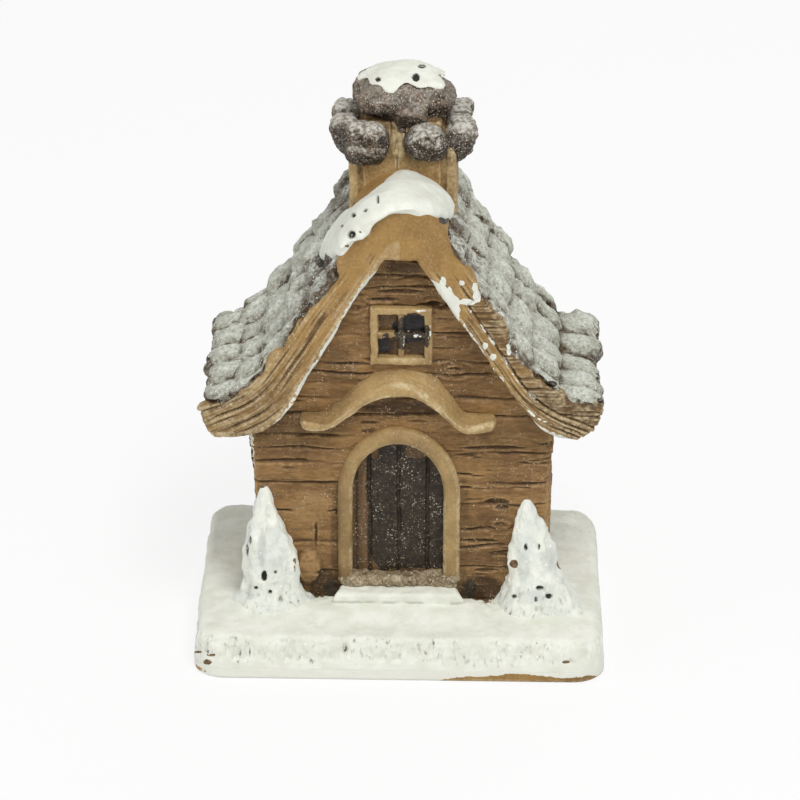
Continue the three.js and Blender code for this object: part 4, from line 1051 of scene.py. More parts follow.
# Flat carved plates.
def plates(parts, step, join=0.3):
    """Flat plates parallel to the gable, joined: each is outline, front y, rear y, rounding, holes."""
    outlines = np.concatenate([np.asarray(part[0], float) for part in parts])
    low, high = outlines.min(0) - 0.4, outlines.max(0) + 0.4
    y0, y1 = min(part[1] for part in parts) - 0.4, max(part[2] for part in parts) + 0.4
    ends = ((low[0], high[0]), (y0, y1), (low[1], high[1]))
    ax, ay, az = (np.arange(a, b + step, step) for a, b in ends)
    total = None
    for outline, front, rear, radius, holes in parts:
        plan = polygon_distance(outline, ax[:, None], az[None, :])
        for hole in holes:
            plan = np.maximum(plan, -polygon_distance(hole, ax[:, None], az[None, :]))
        field = extruded(plan[:, None, :], ay[None, :, None], (front + rear) / 2, rear - front, radius)
        total = field if total is None else soft_min(total, field, join)
    return skin_of_values(total, (low[0], y0, low[1]), step)


# Bargeboards and the crown of the ridge.
# Heights of the boards' edges above the roof line, by station from the eave.
BOARD_TOP = {
    "rear": ((0.0, -0.4), (3.0, -0.9), (24.0, -0.9), (30.0, -0.3), (40.0, -0.1)),
    -1: (
        (0.0, 0.1), (1.0, 0.1), (2.1, -0.3), (3.8, -0.4), (4.9, 0.4), (8.0, -0.15), (9.8, 0.45),
        (10.7, 0.4), (11.8, -0.45), (13.4, 0.0), (15.0, 0.2), (17.0, -0.15), (18.5, -0.6), (22.1, -0.8),
        (23.6, 0.5), (40.0, 0.9),
    ),
    1: (
        (0.0, 0.3), (0.6, 0.5), (3.4, -0.5), (4.6, 0.3), (5.6, 0.4), (9.0, -0.4), (12.4, -0.9),
        (14.6, 0.3), (15.8, 0.5), (18.0, 0.0), (19.5, 0.0), (21.6, 0.6), (22.8, 0.5), (24.9, 0.0),
        (26.5, 0.5), (40.0, 0.9),
    ),
}
BOARD_FOOT = {
    -1: (
        (0.2, -3.7), (1.2, -4.1), (2.3, -4.6), (3.8, -5.2), (5.2, -5.4), (6.9, -5.0), (8.8, -4.45),
        (13.0, -4.25), (17.3, -4.0), (20.5, -3.65), (27.1, -3.75),
    ),
    1: (
        (1.2, -4.0), (3.3, -4.65), (4.8, -4.3), (6.6, -3.75), (9.0, -3.55), (13.5, -3.55),
        (17.6, -3.65), (21.8, -3.7), (26.4, -3.6),
    ),
}
BOARD_END = {-1: ((-0.15, -1.0), (-0.1, -2.6)), 1: ((-0.2, -0.6), (-0.1, -2.2))}
BOARD_APEX = 47.1
CROWN_REACH = 5.6
# Height above which the right-hand board's face is carved level, like the planks.
STRIP_HEIGHT = -1.75


def smooth_heights(points, start, end, count):
    """Even stations from start to end and the heights of a line there, with its corners rounded."""
    stations = np.linspace(start, end, count)
    dense = along_line(stations, points)
    kernel = np.hanning(9) / np.hanning(9).sum()
    return stations, np.convolve(np.pad(dense, 4, mode="edge"), kernel, "valid")


def half_board(side, top):
    """Outline of one board from the peak down its upper edge and back up its lower edge."""
    stations, heights = smooth_heights(BOARD_TOP[top], 0.0, ROOF_LENGTH, 170)
    upper = np.stack(roof_point(stations, heights), 1)[::-1]
    end = np.array([np.stack(roof_point(s, h)) for s, h in BOARD_END[side]])
    foot = BOARD_FOOT[side]
    stations, heights = smooth_heights(foot, foot[0][0], foot[-1][0], 60)
    lower = np.stack(roof_point(stations, heights), 1)
    lower = lower[lower[:, 1] < BOARD_APEX]
    return np.concatenate([upper, end, lower]) * (side, 1)


def both_boards(front):
    """Outline of the pair of boards on one gable."""
    right, left = (1, -1) if front else ("rear", "rear")
    return np.concatenate([half_board(1, right), half_board(-1, left)[::-1]])


def crown_outline(bottom, top):
    """Outline of the plain crown over the peak, between two heights from the roof line."""
    stations = np.linspace(ROOF_LENGTH - CROWN_REACH, ROOF_LENGTH, 24)
    upper = np.stack(roof_point(stations, top), 1)
    lower = np.stack(roof_point(stations, bottom), 1)
    right = np.concatenate([lower[::-1], upper])
    return np.concatenate([right, (upper * (-1, 1))[::-1], lower * (-1, 1)])


def boards(front, rear, crown_front, crown_rear, seed, step):
    """The boards and crown of one gable, carved. Gives also each point's station, height and crown."""
    in_front = front < 0
    crown = crown_outline(-1.6, 0.8 if in_front else -0.1)
    pair = (both_boards(in_front), front, rear, 0.5, ())
    skin = plates([pair, (crown, crown_front, crown_rear, 0.4, ())], step)
    station, height = along_roof(skin.p)
    right = skin.x > 0
    level = (height > STRIP_HEIGHT) & (station < 19.5) & right & in_front
    q = np.stack([station + 60 * np.sign(skin.x), height, skin.y * 0.4], 1)
    q = np.where(level[:, None], skin.p[:, [0, 2, 1]] * (1, 1, 0.4) + (90, 0, 0), q)
    crown = between(station, 20.5, 24.5) * between(height, -2.9, -1.6)
    crown = np.maximum(crown, between(station, 25.0, 27.5))
    streaks = fbm(q, (7.0, 0.5, 2.0), seed, 3)
    scores = between(fbm(q, (6.0, 0.34, 2.0), seed + 3, 2), 0.16, 0.5)
    fine = fbm(q, (2.4, 0.2, 1.2), seed + 6, 2)
    rough = fbm(skin.p, 1.2, seed + 9, 3)
    ragged_top = between(height, -0.6, 0.0) * (1 - crown) * fbm(skin.p, 1.4, seed + 12, 2)
    ends = between(station, 11.0, 4.0)
    amount = (0.15 * streaks - (0.16 + 0.16 * ends) * scores + 0.07 * fine) * (1 - 0.95 * crown)
    seam = np.exp(-(((height - STRIP_HEIGHT) / 0.16) ** 2)) * (station < 19.5) * right * in_front
    skin.push(amount + (0.12 - 0.06 * crown) * rough + 0.22 * ragged_top - 0.22 * seam)
    skin.darken_hollows_lighten_heights(0.03, 0.15)
    skin.add("wash_and_shade", 0.75 * scores * (1 - crown), keep=0.6)
    skin.marks["wash_and_shade"] *= 1 - 0.7 * crown
    skin.marks["rub_and_highlight"] *= 1 - 0.85 * crown
    level_wash = level * (0.62 + 0.5 * fbm(skin.p, 2.2, seed + 7, 2))
    skin.add("wash_and_shade", 0.6 * seam + level_wash)
    skin.marks["run"] = q[:, 0] / MARK_SPAN
    skin.marks["rise"] = q[:, 1] / MARK_SPAN
    skin.marks["worn"] = np.clip((0.35 + 0.65 * ends) * (1 - crown), 0, 1)
    skin.marks["plain"] = crown
    return skin, station, height, crown


def front_boards():
    """The front boards and crown, with their white paint, worn edges, a painted highlight along the
    left board's lower edge, and dark places, among them painted shade under the peak.
    """
    rear, crown_rear = ROOF_FRONT + BOARD_THICKNESS, CHIMNEY_LOW[1] + 0.4
    skin, station, height, crown = boards(ROOF_FRONT, rear, ROOF_FRONT + 0.3, crown_rear, 40, 0.13)
    left = skin.x < 0
    forward = between(skin.y, ROOF_FRONT + 1.2, ROOF_FRONT + 0.4)
    broken = fbm(skin.p, 1.4, 48, 3)
    top_left = along_line(station, WHITE_TOP_LEFT)
    top_right = along_line(station, WHITE_TOP_RIGHT)
    paint = between(np.where(left, top_left, top_right) + 0.2 * broken - height, -0.12, 0.12)
    lines = np.exp(-(((height - STRIP_HEIGHT + 0.1) / 0.17) ** 2))
    lines = lines + np.exp(-(((height + 3.35) / 0.2) ** 2))
    thin = lines * between(station, 3.0, 6.0) * between(station, 20.0, 18.5)
    thin = thin * between(broken, -0.25, 0.15)
    foot = along_line(station, BOARD_FOOT[-1])
    edge_line = between(foot + 0.4 - height, -0.1, 0.12) * between(station, 5.0, 7.0)
    edge_line = edge_line * between(station, 21.0, 19.0) * (0.55 + 0.5 * between(broken, -0.3, 0.1))
    paint = np.maximum(paint, np.where(left, edge_line, 0.8 * thin))
    paint = np.maximum(paint, spots(skin.p, BOARD_PAINT))
    skin.marks["paint"] = paint * forward
    ends = between(station, 11.0, 4.0)
    # A painted highlight along the left board's lower edge, and paler worn lower ends.
    edge_highlight_and_wear = between(foot + 0.9 - height, -0.1, 0.4) * left * (1 - 0.5 * crown)
    edge_highlight_and_wear = edge_highlight_and_wear + 0.4 * ends * between(broken, -0.4, 0.4)
    top_edge = between(height, -0.9, 0.0) * (1 - crown) * 0.55 * between(broken, -0.3, 0.2)
    skin.add("rub_and_highlight", edge_highlight_and_wear + top_edge)
    # Darker worn lower ends, and the dark places, among them painted shade under the peak.
    dark = 0.45 * ends + spots(skin.p, BOARD_SHADE)
    skin.add("wash_and_shade", dark * (1 - crown))
    skin.marks["coat_and_shadow"] = spots(skin.p, BOARD_COAT)
    return skin


# White dabs and dark places on the boards, in the picture; the dark place under the peak is painted
# shade.
BOARD_PAINT = (
    (443, 282, 3.0, 5.0, 1.0), (449, 293, 3.6, 6.0, 1.0), (456, 302, 4.4, 4.0, 1.0),
    (467, 302, 8.0, 3.0, 1.0), (477, 296, 4.0, 6.5, 1.0), (475, 287, 2.6, 4.0, 1.0),
    (462, 283, 2.8, 2.2, 1.0), (485, 346, 3.0, 3.5, 0.9), (509, 349, 2.6, 6.0, 0.9),
    (493, 357, 3.0, 3.0, 0.8), (501, 380, 2.6, 4.0, 0.7),
)
BOARD_SHADE = (
    (403, 260, 16, 3, 0.4), (470, 326, 3, 20, 0.5), (498, 322, 12, 6, 0.25), (590, 415, 12, 12, 0.3),
)
BOARD_COAT = ((444, 218.6, 4.6, 5.4, 1.4), (552, 384, 5, 2.6, 1.2))
# How low on the boards the white strip along their lower edge starts, by station.
WHITE_TOP_LEFT = (
    (6.0, -6.0), (16.0, -4.4), (18.5, -3.75), (20.5, -3.3), (22.5, -3.2), (24.6, -3.5), (25.6, -3.9),
    (26.4, -6.0),
)
WHITE_TOP_RIGHT = (
    (17.5, -4.0), (19.3, -2.8), (20.5, -2.1), (22.0, -2.4), (23.5, -3.0), (24.5, -4.2), (26.0, -6.0),
)

rear_front, crown_front = ROOF_REAR - BOARD_THICKNESS, CHIMNEY_HIGH[1] - 0.4
rear_boards = boards(rear_front, ROOF_REAR, crown_front, ROOF_REAR - 0.3, 55, 0.16)[0]
for end, skin in (("front", front_boards()), ("rear", rear_boards)):
    nodes = (f"bargeboard_{end}_left", f"bargeboard_{end}_right", f"ridge_cap_{end}")
    place(f"{end}_boards_and_crown", skin, board_finish, "brown_resin", *nodes)


# Snow on the ridge.
# Outline of the snow over the crown: place across the ridge and y.
SNOW_OUTLINE = (
    (-7.4, -11.1), (-4.5, -11.2), (-1.5, -11.2), (1.2, -11.1), (3.4, -9.6), (5.0, -6.4), (6.0, -3.8),
    (6.1, -1.6), (4.2, -1.4), (1.9, -1.0), (0.6, -0.3), (-0.6, -0.5), (-2.0, -3.6), (-3.2, -5.0),
    (-4.4, -4.6), (-6.2, -1.9), (-8.2, -1.5), (-10.4, -1.4), (-12.0, -3.8), (-9.8, -7.6),
)
# Where the snow's front edge hangs to, across the ridge and height over the roof line.
SNOW_LIP = (
    (-7.6, 0.9), (-6.0, 0.5), (-5.0, -0.3), (-4.0, -0.5), (-3.0, 0.0), (-1.5, 0.35), (0.0, 0.65),
    (1.6, 1.0),
)
# Casting pits and soiled places in the snow, in the picture.
SNOW_PITS = (
    (351, 235, 3.6, 3.6, 1.5), (353, 215, 2.0, 2.0, 1.4), (365, 210, 1.5, 1.5, 1.3),
    (377.5, 199, 1.2, 3.6, 1.4),
)
SNOW_SOIL = (
    (342, 226, 1.6, 1.6, 0.9), (347, 246, 2.4, 1.6, 0.8), (360, 232, 1.5, 1.2, 0.8),
    (338, 214, 1.2, 2.0, 0.8),
)


def ridge_snow():
    """A thick sheet of snow over the ridge, whose front edge hangs over the crown."""
    step = 0.13
    low, high = np.array([-12.9, -11.9, -0.9]), np.array([7.2, 0.6, 2.5])
    ax, ay, ah = (np.arange(a, b + step, step) for a, b in zip(low, high))
    plan = polygon_distance(SNOW_OUTLINE, ax[:, None], ay[None, :])
    flat = np.stack(np.broadcast_arrays(ax[:, None], ay[None, :]), -1).reshape(-1, 2)
    rough = fbm(np.column_stack([flat, np.zeros(len(flat))]), 1.6, 71, 3).reshape(plan.shape)
    plan = plan + 0.35 * rough - 0.1
    thickness = 0.45 + 0.95 * (1 - np.exp(-np.maximum(-plan, 0) / 1.1)) + 0.12 * rough
    top = ah[None, None, :] - 0.5 - thickness[:, :, None]
    hang = along_line(ax, SNOW_LIP)[:, None]
    ahead = between(ay, ROOF_FRONT + 0.15, ROOF_FRONT - 0.25)[None, :]
    underside = (0.1 + (hang - 0.1) * ahead)[:, :, None] - ah[None, None, :]
    values = soft_max(soft_max(plan[:, :, None], top, 0.5), underside, 0.35)
    skin = skin_of_values(values, low, step)
    across, y, height = skin.p.T.copy()
    x, z = roof_point(ROOF_LENGTH - np.abs(across), height)
    skin.p = np.stack([np.sign(across) * x, y, z], 1)
    skin.face_out()
    skin.push(0.07 * fbm(skin.p, 1.5, 73, 3) + 0.03 * fbm(skin.p, 0.5, 75, 2))
    pits = skin.sink(SNOW_PITS, 0.4)
    skin.darken_hollows_lighten_heights(0.06, 0.4)
    skin.marks["pit"] = np.clip(1.3 * pits, 0, 1)
    skin.marks["bare"] = 0.9 * spots(skin.p, SNOW_SOIL)
    return skin


place("ridge_snow", ridge_snow(), snow_paint, "painted_snow", "gable_snow")


# Door, hood and window.
# The opening is this much wider than the solid's on each side, and this far to one side of it.
DOOR_EASE, DOOR_SHIFT = 0.3, -0.12


def trim_relief(skin, seed, size, grain=0.0):
    """Gives smooth trim its slight unevenness, and its wash and rubbed places."""
    uneven = size * fbm(skin.p, 1.5, seed, 3) + 0.03 * fbm(skin.p, 0.4, seed + 4, 2)
    skin.push(uneven + grain)
    skin.darken_hollows_lighten_heights(0.028, 0.13)


def door_surround():
    """The arched frame, worn along its edges, with a painted highlight down its right side and painted
    shade down its left.
    """
    outer_half, outer_rise = DOOR_HALF + DOOR_FRAME, DOOR_RISE + DOOR_FRAME + 1
    outer = arch(DOOR_X, outer_half, SILL_TOP - 0.4, DOOR_TOP + DOOR_FRAME, outer_rise)
    inner_half, inner_rise = DOOR_HALF + DOOR_EASE, DOOR_RISE + 0.9
    inner = arch(DOOR_X + DOOR_SHIFT, inner_half, SILL_TOP - 2, DOOR_TOP + 0.1, inner_rise)
    skin = plates([(outer, HOUSE_FRONT - 0.95, HOUSE_FRONT + 1.2, 0.75, (inner,))], 0.12)
    trim_relief(skin, 81, 0.09)
    inside = polygon_distance(inner, skin.x, skin.z)
    edge = between(inside, 0.5, 0.1) * between(fbm(skin.p, 1.3, 83, 2), -0.35, 0.1)
    outside = polygon_distance(outer, skin.x, skin.z)
    # A painted highlight along the frame's right outer edge.
    right_edge_highlight = between(outside, -0.5, -0.15) * between(skin.x, 4.0, 6.0)
    skin.add("rub_and_highlight", 0.8 * edge + 0.8 * right_edge_highlight)
    foot = between(skin.z, 10.4, 8.6) * 0.5
    # Painted shade down the frame's left side.
    left_shade = between(skin.x, -5.0, -6.8) * 0.35
    stained = 0.22 + 0.4 * fbm(skin.p, 2.6, 84, 3)
    skin.add("wash_and_shade", foot + left_shade + stained)
    return skin


# The dark paint on the door, in the picture: its sides and foot, where its right foot is cut
# away, the shadow along its left side and the bare places at its top.
COAT_LEFT, COAT_RIGHT, COAT_FOOT = (366, 369), (452, 448), (572, 567)
COAT_CUT, CUT_REACH, DOOR_SHADOW = 545, 30, 357
DOOR_BARE = ((418, 452, 13, 6, 1.0), (374, 452, 5, 7, 0.9))
DOOR_GROOVES = (-3.4, -0.2, 3.0)


def door_leaf():
    """The door's upright planks, painted dark."""
    half = DOOR_HALF + DOOR_EASE + 0.25
    outline = arch(DOOR_X + DOOR_SHIFT, half, SILL_TOP - 0.2, DOOR_TOP + 0.3, DOOR_RISE + 0.6)
    skin = plates([(outline, HOUSE_FRONT + 0.7, HOUSE_FRONT + SKIN, 0.2, ())], 0.12)
    x, z = skin.x, skin.z
    grooves = np.zeros(len(x))
    for groove_x in DOOR_GROOVES:
        wander = 0.12 * noise(np.stack([z * 0 + groove_x, z, z * 0], 1), 4.0, 85)
        grooves = np.maximum(grooves, np.exp(-(((x - groove_x - wander) / 0.2) ** 2)))
    streaks = fbm(skin.p, (0.45, 2.0, 5.0), 87, 3)
    skin.push(0.12 * streaks - 0.34 * grooves + 0.06 * fbm(skin.p, 0.7, 89, 3))
    skin.darken_hollows_lighten_heights(0.03, 0.12)
    skin.add("wash_and_shade", 0.8 * grooves, keep=0.6)
    px, py = seen_at(skin.p)
    wave = 3.0 * fbm(skin.p, 2.0, 90, 2)
    cut = 0.5 * np.clip(py - COAT_CUT, 0, CUT_REACH)
    inside = between(px + wave - cut, *COAT_LEFT) * between(px - wave, *COAT_RIGHT)
    inside = inside * between(py - wave, *COAT_FOOT)
    skin.add("wash_and_shade", 0.9 * np.exp(-(((px - DOOR_SHADOW) / 2.0) ** 2)))
    skin.marks["coat_and_shadow"] = np.clip(inside - spots(skin.p, DOOR_BARE), 0, 1)
    return skin


def threshold():
    """The rough sill under the door."""
    center, half = np.array((DOOR_X, HOUSE_FRONT, SILL_TOP - 0.3)), (6.35, 1.15, 0.65)

    def field(x, y, z):
        return rounded_box(x - center[0], y - center[1], z - center[2], half, 0.4)

    skin = skin_of(field, center - half - 0.4, center + half + 0.4, 0.12)
    skin.push(0.22 * fbm(skin.p, 0.7, 92, 3))
    trim_relief(skin, 91, 0.3)
    skin.add("wash_and_shade", 0.3 + 0.6 * fbm(skin.p, 1.2, 93, 2), keep=0.5)
    return skin


# The hood's lower front edge, in the picture, and how far it stands out from the wall.
HOOD_FOOT = (
    (299, 430), (310, 433), (326, 433), (345, 421), (365, 406), (385, 398), (402, 396), (420, 401),
    (440, 415), (455, 430), (463, 437), (478, 435), (496, 432),
)
HOOD_REACH = 2.1
# Height of the hood's front edge and its thickness at the wall, by x.
HOOD_EDGE = (
    (-10.5, 1.1), (-8.8, 0.9), (-7.5, 0.6), (-4.0, 0.9), (-0.5, 1.5), (4.0, 0.7), (7.5, 0.7),
    (9.5, 1.1),
)
HOOD_ROOT = ((-10.0, 1.3), (-6.5, 1.5), (-3.5, 2.1), (0.0, 2.4), (4.0, 2.2), (6.5, 1.6), (9.5, 1.3))


def smooth_line(points, count, passes):
    """Even points along a line, with its corners smoothed."""
    points = np.asarray(points, float)
    reach = np.concatenate([[0], np.cumsum(np.hypot(*np.diff(points, axis=0).T))])
    even = np.linspace(0, reach[-1], count)
    line = np.stack([np.interp(even, reach, points[:, n]) for n in (0, 1)], 1)
    for _ in range(passes):
        line[1:-1] = (line[:-2] + 2 * line[1:-1] + line[2:]) / 4
    return line


def canopy():
    """The hood over the door: a bent plank that thins towards its front edge, with a painted highlight
    along that edge on its right half.
    """
    face = HOUSE_FRONT - HOOD_REACH
    foot = on_plane(*np.array(HOOD_FOOT, float).T, face)
    foot = smooth_line(foot, 80, 14)
    slope = np.gradient(foot[:, 1], foot[:, 0])
    low = np.array((foot[0, 0] - 0.6, face - 0.5, foot[:, 1].min() - 0.6))
    high = np.array((foot[-1, 0] + 0.6, HOUSE_FRONT + 0.8, foot[:, 1].max() + 3.2))

    def field(x, y, z):
        under = np.interp(x, foot[:, 0], foot[:, 1])
        flat = 1 / np.sqrt(1 + np.interp(x, foot[:, 0], slope) ** 2)
        thin = along_line(x, HOOD_EDGE)
        thick = along_line(x, HOOD_ROOT)
        share = np.clip((y - face) / HOOD_REACH, 0, 1.3)
        top = (z - under) * flat - (thin + (thick - thin) * share)
        sheet = soft_max((under - z) * flat, top, 0.4)
        body = soft_max(sheet, np.abs(y - face - 1.3) - 1.3, 0.35)
        ends = np.maximum(foot[0, 0] - x, x - foot[-1, 0])
        return soft_max(body, ends, 0.9)

    skin = skin_of(field, low, high, 0.12)
    under = np.interp(skin.x, foot[:, 0], foot[:, 1])
    q = np.stack([skin.x, skin.y * 2.2, skin.z - under], 1)
    trim_relief(skin, 95, 0.12, 0.05 * fbm(q, (3.0, 0.5, 0.35), 97, 2))
    edge = along_line(skin.x, HOOD_EDGE)
    # A painted highlight along the front top edge of the hood's right half.
    front_edge_highlight = between(skin.y, face + 0.6, face + 0.25) * between(np.abs(q[:, 2] - edge), 0.55, 0.25)
    front_edge_highlight = front_edge_highlight * between(fbm(skin.p, 1.6, 99, 2), -0.4, 0.1) * between(skin.x, -1.5, 0.0)
    lower_edge = between(q[:, 2], 0.5, 0.15) * between(skin.y, face + 0.5, face) * (skin.x < -1)
    skin.add("rub_and_highlight", front_edge_highlight + 0.8 * lower_edge)
    shade = between(skin.y, face + 1.2, HOUSE_FRONT) * 0.3
    speckled = between(skin.normals()[:, 2], 0.3, 0.9) * between(skin.x, -3.0, -6.5) * 0.6
    speckled = speckled * (0.6 + 0.8 * fbm(skin.p, 0.9, 98, 3))
    skin.add("wash_and_shade", shade + speckled)
    return skin


# On the window, in the picture: black paint daubed over it, dark panes, pale streaks, and the
# rubbed foot of its frame.
WINDOW_DAUB = (
    (410, 331, 15, 14, 1.2), (402, 342, 12, 7, 1.0), (386, 342, 5, 9, 0.7), (420, 345, 9, 5, 0.7),
)
PANE_DAUB = ((412, 328, 18, 13, 1.3), (384, 346, 7, 8, 0.6))
PANE_SHADE = ((386, 344, 8, 9, 0.9), (414, 344, 8, 8, 0.5))
FRAME_DAUB = ((427, 336, 3.5, 12, 0.7), (414, 315, 8, 2.5, 0.7))
FRAME_STREAKS = ((418, 311, 9, 1.2, 0.8), (430, 330, 1.0, 8, 0.6))
BAR_STREAKS = ((409, 325, 1.6, 8, 1.0), (418, 336, 6, 1.4, 0.9), (404, 340, 1.4, 6, 0.7))
FRAME_RUB = ((405, 360, 18, 3, 0.5),)


def window_surround():
    """The square frame round the window."""
    outer, opening = square(WINDOW_HALF + WINDOW_FRAME), square(WINDOW_HALF)
    skin = plates([(outer, HOUSE_FRONT - 0.62, HOUSE_FRONT + 0.8, 0.26, (opening,))], 0.1)
    trim_relief(skin, 101, 0.13)
    skin.marks["coat_and_shadow"] = spots(skin.p, FRAME_DAUB)
    right_side = between(skin.x, 1.5, 3.0) * 0.3
    skin.add("wash_and_shade", right_side)
    skin.add("rub_and_highlight", spots(skin.p, FRAME_RUB))
    skin.marks["paint"] = spots(skin.p, FRAME_STREAKS) * 0.6
    return skin


QUARTER_TURN = np.array([(0, 1), (-1, 0)])


def crossbars():
    """The cross of bars over the window: one arm, turned three times."""
    long, thin = WINDOW_HALF + 0.2, 0.36
    arms = [np.array([(long, -thin), (long, thin), (thin, thin)])]
    for _ in range(3):
        arms.append(arms[-1] @ QUARTER_TURN)
    cross = np.concatenate(arms) + (WINDOW_X, WINDOW_Z)
    skin = plates([(cross, HOUSE_FRONT - 0.35, HOUSE_FRONT + 0.7, 0.25, ())], 0.09)
    trim_relief(skin, 105, 0.13)
    skin.marks["coat_and_shadow"] = spots(skin.p, WINDOW_DAUB)
    skin.add("wash_and_shade", 0.45)
    skin.marks["paint"] = spots(skin.p, BAR_STREAKS) * 0.62
    return skin


def panes():
    """The painted recess behind the bars."""
    skin = plates([(square(WINDOW_HALF + 0.25), HOUSE_FRONT + 0.4, HOUSE_FRONT + SKIN, 0.15, ())], 0.1)
    trim_relief(skin, 107, 0.12)
    skin.marks["coat_and_shadow"] = spots(skin.p, PANE_DAUB)
    skin.add("wash_and_shade", spots(skin.p, PANE_SHADE))
    return skin


place("door_surround", door_surround(), trim_finish, "light_resin", "door_frame")
place("door_planks", door_leaf(), door_finish, "dark_door", "door_leaf")
place("door_threshold", threshold(), sill_finish, "light_resin", "door_sill")
place("door_canopy", canopy(), trim_finish, "light_resin", "door_hood")
place("window_surround", window_surround(), trim_finish, "light_resin", "window_frame")
place("window_crossbars", crossbars(), trim_finish, "light_resin", "window_bars")
place("window_recess", panes(), pane_finish, "window_paint", "window_panes")


# Chimney.
def shaft(x, y, z):
    """The chimney's body with its neck and the grooves down its sides."""
    neck = between(z, 54.8, 57.6)
    half_x, half_y = CHIMNEY_HALF_X - 1.6 * neck, CHIMNEY_HALF_Y - 1.2 * neck
    qx, qy = np.abs(x) - half_x + 0.5, np.abs(y - CHIMNEY_Y) - half_y + 0.5
    corner = np.sqrt(np.maximum(qx, 0) ** 2 + np.maximum(qy, 0) ** 2)
    body = corner + np.minimum(np.maximum(qx, qy), 0) - 0.5
    body = soft_max(body, np.abs(z - 51.2) - 7.0, 0.4)
    off_x, off_y = (np.abs(x) - CHIMNEY_HALF_X) * 0.8, (np.abs(y - CHIMNEY_Y) - CHIMNEY_HALF_Y) * 0.8
    for along in (-4.5, 4.4):
        body = soft_max(body, 0.32 - np.hypot(x - along, off_y), 0.15)
        body = soft_max(body, 0.32 - np.hypot(y - CHIMNEY_Y - along * 0.9, off_x), 0.15)
    return body


# Cracks and a rubbed place on the chimney, in the picture.
CHIMNEY_CRACKS = ((397, 150, 1.2, 16, 1.0), (391, 128, 1.2, 7, 0.7), (405, 128, 1.2, 7, 0.7))
CHIMNEY_RUB = ((399, 140, 7, 18, 0.9),)


def chimney_shaft():
    """The shaft, cracked at the front and darker under the stones."""
    skin = skin_of(shaft, (-6.4, -0.8, 43.8), (6.4, 11.1, 58.2), 0.14)
    skin.push(0.12 * fbm(skin.p, (1.2, 1.2, 4.0), 111, 3) + 0.05 * fbm(skin.p, 0.5, 113, 2))
    crack = spots(skin.p, CHIMNEY_CRACKS)
    skin.push(-0.3 * crack)
    skin.darken_hollows_lighten_heights(0.03, 0.14)
    x, y, z = skin.p.T
    corner = between(np.abs(x), 4.2, 4.5) * between(y, 0.6, 0.0)
    under_stones = 0.7 * between(z, 53.6, 55.0)
    skin.add("wash_and_shade", under_stones + 0.5 * crack + 0.35 * (x > 4.6) * corner)
    skin.add("rub_and_highlight", 0.5 * corner + spots(skin.p, CHIMNEY_RUB))
    return skin


# Each stone of the collar: its face, its place along and up it in shares, its width and height.
STONES = {
    "front_left": ("front", -0.35, -0.02, 1.0, 1.0),
    "front_right": ("front", 0.22, 0.04, 0.88, 0.8),
    "right_front": ("right", -0.22, -0.12, 0.98, 0.92),
    "right_rear": ("right", 0.25, -0.1, 0.94, 0.82),
    "rear_right": ("rear", -0.24, 0.0, 1.02, 0.9),
    "rear_left": ("rear", 0.24, 0.0, 0.98, 0.9),
    "left_rear": ("left", -0.25, -0.14, 0.84, 0.8),
    "left_front": ("left", 0.22, -0.08, 0.84, 0.86),
}
QUARTER_TURNS = {"front": 0, "right": 1, "rear": 2, "left": 3}
STONE_WIDTH, STONE_HEIGHT, STONE_Z = 4.5, 4.9, 56.3


def collar_stone(number, face, along, lift, width, tall):
    """One rough stone, made upright at the origin and then turned to its face of the chimney."""
    turn = QUARTER_TURNS[face] * math.pi / 2
    out = np.array([math.sin(turn), -math.cos(turn)])
    sideways = np.array([math.cos(turn), math.sin(turn)])
    on_side = face in ("left", "right")
    seat = CHIMNEY_HALF_X if on_side else CHIMNEY_HALF_Y
    span = 2 * (CHIMNEY_HALF_Y if on_side else CHIMNEY_HALF_X)
    center = out * (seat - 0.2) + sideways * span * along + (0, CHIMNEY_Y)
    half = (STONE_WIDTH * width / 2 + 0.1, 1.8, STONE_HEIGHT * tall / 2)
    reach = np.array(half) + 1.2
    skin = skin_of(lambda a, b, c: pebble(a, b + 0.3 * c, c, half, 2.8), -reach, reach, 0.13)
    q = skin.p + number * 17.0
    facets = np.clip(fbm(q, 2.6, 121 + number, 1) * 2.0, -0.7, 0.5)
    skin.push(0.55 * facets + 0.34 * fbm(q, 1.1, 131, 3) + 0.1 * fbm(q, 0.4, 133, 2))
    a, b, c = skin.p.T.copy()
    x = center[0] + a * sideways[0] - b * out[0]
    y = center[1] + a * sideways[1] - b * out[1]
    skin.p = np.column_stack([x, y, STONE_Z + STONE_HEIGHT * lift + c])
    skin.face_out()
    shade_stone(skin)
    seam = between(np.abs(a) + 0.5 * fbm(skin.p, 1.0, 137, 2), half[0] - 0.75, half[0] - 0.1)
    skin.add("wash_and_shade", 0.9 * seam)
    skin.marks["rub_and_highlight"] *= 1 - 0.85 * seam
    return skin


def shade_stone(skin):
    """Painted light on the tops and painted shade on the undersides, besides the wash in the hollows
    and the rubbed heights.
    """
    skin.darken_hollows_lighten_heights(0.035, 0.2)
    up = skin.normals()[:, 2] + 0.35 * fbm(skin.p, 1.0, 135, 3)
    top = between(up, 0.1, 0.5)
    # Painted light on the upward faces, painted shade on the downward ones.
    skin.add("rub_and_highlight", top, keep=0.5)
    skin.add("wash_and_shade", 0.9 * between(up, 0.15, -0.3), keep=1 - 0.7 * top)


# The cap's half sizes and the height of its middle, and how low the snow on it reaches.
CAP_HALF, CAP_Z = np.array((5.35, 5.1, 3.5)), 59.3
SNOW_LINE = 62.0
# Pits in the snow on the cap, in the picture.
CAP_PITS = ((416, 77, 3.2, 3.6, 2.4), (378, 79, 2.4, 2.0, 2.4), (422, 66, 3.2, 1.8, 2.0))


